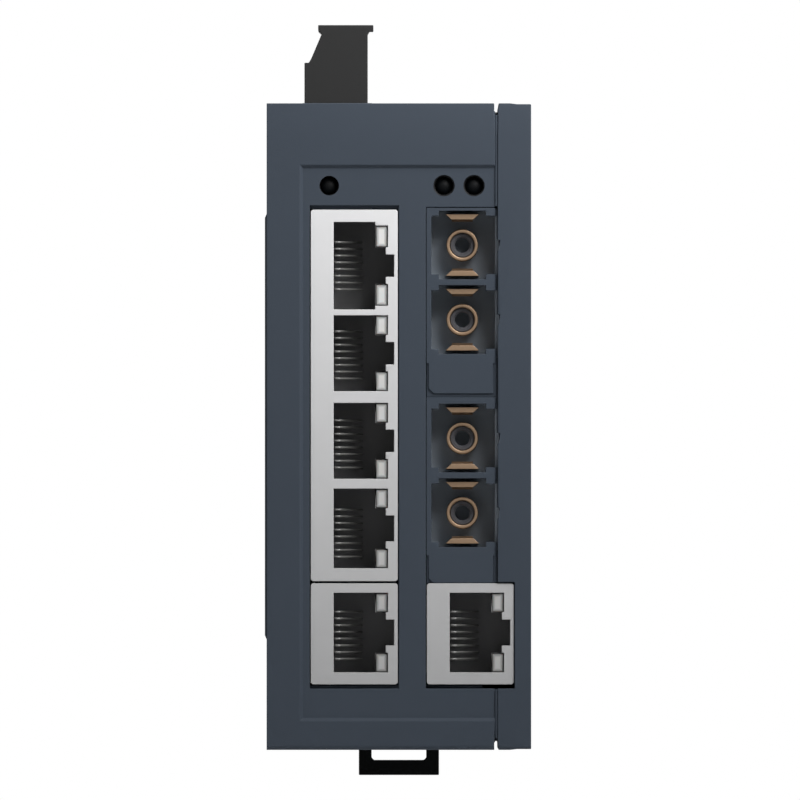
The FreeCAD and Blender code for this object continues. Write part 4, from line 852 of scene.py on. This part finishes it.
class SWITCH_OT_lights(bpy.types.Operator):
    """Turns the domes of the status lights and finishes their holders"""

    bl_idname = "rail_switch.lights"
    bl_label = "Status lights"

    def execute(self, context):
        values = context.scene.switch_case
        dark = smoked("smoked_lens", values.lens)
        for node in ("status_light_left", "status_light_right_1", "status_light_right_2"):
            light_dome(node, dark)
        holder = moulded("holder_moulding", values.holder)
        for side in ("left", "right"):
            dressed("eased_light_holder_" + side, "light_holder_" + side, values.small_edge, holder)
        return {"FINISHED"}


class SWITCH_OT_terminal(bpy.types.Operator):
    """Finishes the pluggable terminal, its screws, cages, header and pins"""

    bl_idname = "rail_switch.terminal"
    bl_label = "Supply terminal"

    def execute(self, context):
        case = context.scene.switch_case
        metal = context.scene.switch_metal
        grey = moulded("terminal_moulding", case.plug, grain=0.14 * MM, gloss=(0.5, 0.65), specular=0.25)
        dressed("rounded_power_plug", "power_plug", case.small_edge, grey)
        zinc = plated("zinc_steel", metal.zinc)
        tin = plated("bright_tin", metal.tin, rough=0.26)
        for number in range(1, 4):
            dressed(f"eased_screw_{number}", f"terminal_screw_{number}", case.small_edge, zinc)
            dressed(f"eased_cage_{number}", f"clamp_cage_{number}", 0.2 * MM, zinc, segments=3)
        dressed("eased_plug_contacts", "plug_contacts", 0.06 * MM, tin)
        dressed("eased_header_pins", "header_pins", case.small_edge, tin)
        dressed("eased_power_header", "power_header", case.small_edge, moulded("header_moulding", case.header))
        return {"FINISHED"}


class SWITCH_OT_foot(bpy.types.Operator):
    """Rounds the rail latch and winds its spring"""

    bl_idname = "rail_switch.foot"
    bl_label = "Rail foot"

    def execute(self, context):
        case = context.scene.switch_case
        metal = context.scene.switch_metal
        black = moulded("foot_moulding", case.latch, gloss=(0.5, 0.65), specular=0.1)
        dressed("rounded_din_latch", "din_latch", case.edge, black)
        steel = plated("spring_wire_steel", metal.spring, rough=0.25)
        low, high = corners("latch_spring")
        middle = ((low.x + high.x) / 2, (low.y + high.y) / 2)
        wire = metal.spring_wire / 2
        recipe = Recipe("spring_coil")
        radius = recipe.entry("Coil radius", (high.x - low.x) / 2 - wire)
        coil = recipe.node(
            "GeometryNodeCurveSpiral", Resolution=28, Rotations=recipe.entry("Turns", float(metal.spring_turns)),
            Start_Radius=radius, End_Radius=radius, Height=recipe.entry("Height", high.z - low.z - 2 * wire),
        )
        tube = recipe.drawn(coil, recipe.entry("Wire radius", wire), sides=12)
        seat = recipe.entry("Seat", (*middle, low.z + wire))
        placed = recipe.node("GeometryNodeTransform", Geometry=tube, Translation=seat)
        start = strands("coil", [(0, 0, 0), (0, 0, MM)])
        mesh = recipe.grown("round_latch_spring", start, steel, placed)
        spring = stand_in(mesh.name, mesh, "latch_spring")
        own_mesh(spring)
        return {"FINISHED"}


def lead_ring(chip, count, material):
    """Bent leads in four rows round a chip, as one piece on the chip's body."""
    low, high = corners(chip)
    half, tall = (high.y - low.y) / 2, high.x - low.x
    pitch = 1.6 * half / count
    reach, radius, inside = 0.75 * MM, 0.11 * MM, 0.1 * MM
    start = -pitch * (count - 1) / 2
    bends = ((tall / 2, inside), (tall / 2, -0.35 * reach), (radius, -0.6 * reach), (radius, -reach))
    name = chip + "_leads"
    recipe = Recipe(name)
    curve = recipe.node("GeometryNodeMeshToCurve", Mesh=recipe.base)
    lead = recipe.drawn(curve, recipe.entry("Lead radius", radius), sides=6)
    row = recipe.repeated(lead, recipe.entry("Leads", count), recipe.entry("Step", (0.0, 0.0, pitch)))
    sides = [
        recipe.node("GeometryNodeTransform", Geometry=row, Rotation=(math.radians(90.0 * side), 0.0, 0.0))
        for side in range(4)
    ]
    centre = recipe.entry("Centre", (low.x, (low.y + high.y) / 2, (low.z + high.z) / 2))
    placed = recipe.node("GeometryNodeTransform", Geometry=recipe.joined(*sides), Translation=centre)
    mesh = recipe.grown(name, strands(name, [(x, y - half, start) for x, y in bends]), material, placed)
    return piece(name, mesh, body_of(chip))


def can_piece(number, material):
    """An electrolytic can: a beaded foot, straight sides and a rolled rim round its sunk top."""
    node = f"capacitor_{number}"
    low, high = corners(node)
    radius, tall = (high.y - low.y) / 2, high.x - low.x
    bead = 0.06 * radius
    profile = [(0.0, 0.0), (radius - bead, 0.0), (radius, bead), (radius, 0.1 * tall)]
    profile += [(radius - 1.6 * bead, 0.13 * tall), (radius - 1.6 * bead, 0.16 * tall), (radius, 0.19 * tall)]
    profile += [(radius, tall - 2 * bead), (radius - 0.6 * bead, tall - 0.6 * bead), (radius - 2 * bead, tall)]
    profile += [(radius * 0.8, tall), (radius * 0.77, tall - 0.5 * bead), (0.0, tall - 0.5 * bead)]
    return lathe_piece(f"beaded_can_{number}", node, profile, material, OFF_BOARD, steps=56, sharp=25.0)


def small_parts(board, spots, material):
    """Rows of tiny chip parts on a board, with slightly uneven places."""
    face = corners(board)[1].x
    size = (0.55 * MM, 0.8 * MM, 1.6 * MM)
    astray = 0.6 * MM
    name = board + "_small_parts"
    form = bmesh.new()
    for y, z in spots:
        form.verts.new((face, y, z))
    recipe = Recipe(name)
    brick = recipe.node("GeometryNodeMeshCube", Size=recipe.entry("Size", size))
    moved = recipe.node(
        "FunctionNodeRandomValue", {"data_type": "FLOAT_VECTOR"}, i0=(0.0, -astray, -astray),
        i1=(0.0, astray, astray), Seed=recipe.entry("Seed", 7),
    )
    shifted = recipe.node("GeometryNodeSetPosition", Geometry=recipe.base, Offset=moved)
    bricks = recipe.node("GeometryNodeInstanceOnPoints", Points=shifted, Instance=brick)
    mesh = recipe.grown(name, as_mesh(form, name), material, bricks)
    for vertex in mesh.vertices:
        vertex.co.x += size[0] / 2
    return piece(name, mesh, body_of(board))


class SWITCH_OT_boards(bpy.types.Operator):
    """Finishes the circuit boards, adds chip leads and small parts and turns the cans"""

    bl_idname = "rail_switch.boards"
    bl_label = "Circuit boards"

    def execute(self, context):
        values = context.scene.switch_board
        edge = context.scene.switch_case.edge
        coated(board_mask("solder_mask", values.mask, values.track), "main_board", "fibre_board")
        connector = moulded("board_connector", values.connector)
        package = moulded("chip_package", values.package, edge=0.15)
        tin = plated("lead_tin", values.lead, rough=0.3)
        for node in ("board_socket", "board_header"):
            dressed("eased_" + node, node, edge, connector)
        for node in ("switch_chip", "fibre_chip", "magnetics", "power_inductor"):
            dressed("eased_" + node, node, edge, package)
        dressed("eased_crystal", "crystal", 0.3 * MM, tin, segments=3)
        dressed("eased_input_fuse", "input_fuse", edge, ceramic("fuse_body", values.fuse))
        can = drawn_can("can_aluminium", values.can_line, values.can)
        for number in (1, 2):
            can_piece(number, can)
        for chip, leads in (("switch_chip", 20), ("fibre_chip", 12)):
            lead_ring(chip, leads, tin)
        body = moulded("small_part_body", values.small, edge=0.15)
        step, row_step = 2.3 * MM, 2.4 * MM
        low, high = corners("switch_chip")
        behind = [(high.y + 3.2 * MM, low.z + number * step) for number in range(7)]
        above = [(low.y + number * row_step, high.z + 2.6 * MM) for number in range(6)]
        small_parts("main_board", behind + above, body)
        low, high = corners("fibre_chip")
        small_parts("fibre_board", [(high.y + 3.0 * MM, low.z + number * step) for number in range(5)], body)
        return {"FINISHED"}


# ---------------------------------------------------------------- stage


def lamp(name, place, target, size, power, spread=180.0):
    """A square soft box aimed at a point, with its spread in degrees."""
    data = bpy.data.lights.new(name, "AREA")
    data.shape = "SQUARE"
    data.size = size
    data.energy = power
    data.spread = math.radians(spread)
    made = bpy.data.objects.new(name, data)
    made.location = place
    made.rotation_euler = (Vector(target) - Vector(place)).to_track_quat("-Z", "Y").to_euler()
    made.visible_camera = False
    bpy.context.scene.collection.objects.link(made)


def white_room(ambient):
    """A world that is white where it is seen, mirrored or looked through, and dimmer as light."""
    world = bpy.data.worlds.new("soft_room")
    bpy.context.scene.world = world
    world.use_nodes = True
    nodes = world.node_tree.nodes
    links = world.node_tree.links
    path = nodes.new("ShaderNodeLightPath")
    seen = path.outputs["Is Camera Ray"]
    for ray in ("Is Glossy Ray", "Is Transmission Ray"):
        either = nodes.new("ShaderNodeMath")
        either.operation = "MAXIMUM"
        links.new(seen, either.inputs[0])
        links.new(path.outputs[ray], either.inputs[1])
        seen = either.outputs[0]
    strength = nodes.new("ShaderNodeMapRange")
    strength.inputs["To Min"].default_value = ambient
    strength.inputs["To Max"].default_value = 1.0
    links.new(seen, strength.inputs["Value"])
    back = nodes["Background"]
    back.inputs["Color"].default_value = (1.0, 1.0, 1.0, 1.0)
    links.new(strength.outputs[0], back.inputs["Strength"])


def pale_floor(colour):
    """The floor under the switch, as part of the stage."""
    half, level = 0.85, -74.2 * MM
    form = bmesh.new()
    bmesh.ops.create_grid(form, x_segments=12, y_segments=12, size=half)
    bmesh.ops.translate(form, verts=form.verts, vec=(0.0, 0.0, level))
    floor = bpy.data.objects.new("floor", as_mesh(form, "floor"))
    bpy.context.scene.collection.objects.link(floor)
    finish = Finish("pale_floor", IOR=1.3)
    cloud = finish.noise(0.3, detail=2.0)
    finish.into(
        Base_Color=finish.blend(cloud, colour, [c * 0.985 for c in colour]),
        Roughness=0.6 + 0.1 * cloud,
    )
    floor.data.materials.append(finish.material)


def front_camera(reach, drop, across):
    """A far camera straight in front, a little low, whose view is across metres wide at the front of the switch."""
    camera = bpy.data.cameras.new("front_camera")
    camera.sensor_width = 36.0
    camera.lens = camera.sensor_width * reach / across
    camera.clip_end = 50.0
    holder = bpy.data.objects.new("front_camera", camera)
    middle = Vector((0.19 * MM, -74.0 * MM, 4.52 * MM))
    holder.location = middle - Vector((0.0, reach, drop))
    holder.rotation_euler = (middle - holder.location).to_track_quat("-Z", "Y").to_euler()
    bpy.context.scene.collection.objects.link(holder)
    bpy.context.scene.camera = holder


class SWITCH_OT_stage(bpy.types.Operator):
    """Sets the floor, the soft lamps, the white room and the camera straight in front"""

    bl_idname = "rail_switch.stage"
    bl_label = "Stage"

    def execute(self, context):
        values = context.scene.switch_stage
        pale_floor(values.floor)
        white_room(values.ambient)
        lamp("key_box", (0.1, -0.2, 0.17), (0.0, -0.074, 0.05), 0.16, values.key, spread=92.0)
        middle = (0.0, -0.04, 0.0)
        lamp("left_box", (-0.8, 0.0, 0.35), middle, 0.6, values.fill)
        lamp("right_box", (0.8, 0.05, 0.4), middle, 0.6, values.fill)
        lamp("back_box", (0.2, 0.9, 0.5), middle, 0.6, values.fill)
        lamp("top_box", (0.0, 0.35, 1.0), middle, 1.2, 2 * values.fill)
        front_camera(values.reach, values.drop, values.across)
        context.scene.view_settings.view_transform = "Standard"
        return {"FINISHED"}


# ---------------------------------------------------------------- panel and run


class SWITCH_PT_sidebar(bpy.types.Panel):
    """Lists the sizes, the colours and the pieces in the sidebar"""

    bl_idname = "SWITCH_PT_sidebar"
    bl_label = "Rail Switch"
    bl_space_type = "VIEW_3D"
    bl_region_type = "UI"
    bl_category = "Rail Switch"

    def draw(self, context):
        for word in GROUPS:
            values = getattr(context.scene, word)
            column = self.layout.column(align=True)
            for entry in values.__annotations__:
                column.prop(values, entry)
        for made in OPERATORS:
            self.layout.operator(made.bl_idname)


OPERATORS = (
    SWITCH_OT_case,
    SWITCH_OT_jacks,
    SWITCH_OT_fibre_ports,
    SWITCH_OT_lights,
    SWITCH_OT_terminal,
    SWITCH_OT_foot,
    SWITCH_OT_boards,
    SWITCH_OT_stage,
)
GROUPS = {
    "switch_case": SwitchCaseSettings,
    "switch_metal": SwitchMetalSettings,
    "switch_board": SwitchBoardSettings,
    "switch_stage": SwitchStageSettings,
}


def register():
    """Registers the settings, the operators and the panel."""
    for word, group in GROUPS.items():
        bpy.utils.register_class(group)
        setattr(bpy.types.Scene, word, PointerProperty(type=group))
    for made in (*OPERATORS, SWITCH_PT_sidebar):
        bpy.utils.register_class(made)


def unregister():
    """Takes them out again."""
    for made in reversed((*OPERATORS, SWITCH_PT_sidebar)):
        bpy.utils.unregister_class(made)
    for word, group in GROUPS.items():
        delattr(bpy.types.Scene, word)
        bpy.utils.unregister_class(group)


def main():
    """Builds every piece in order."""
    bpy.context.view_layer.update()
    register()
    for made in OPERATORS:
        group, word = made.bl_idname.split(".")
        getattr(getattr(bpy.ops, group), word)()


if __name__ == "__main__":
    main()
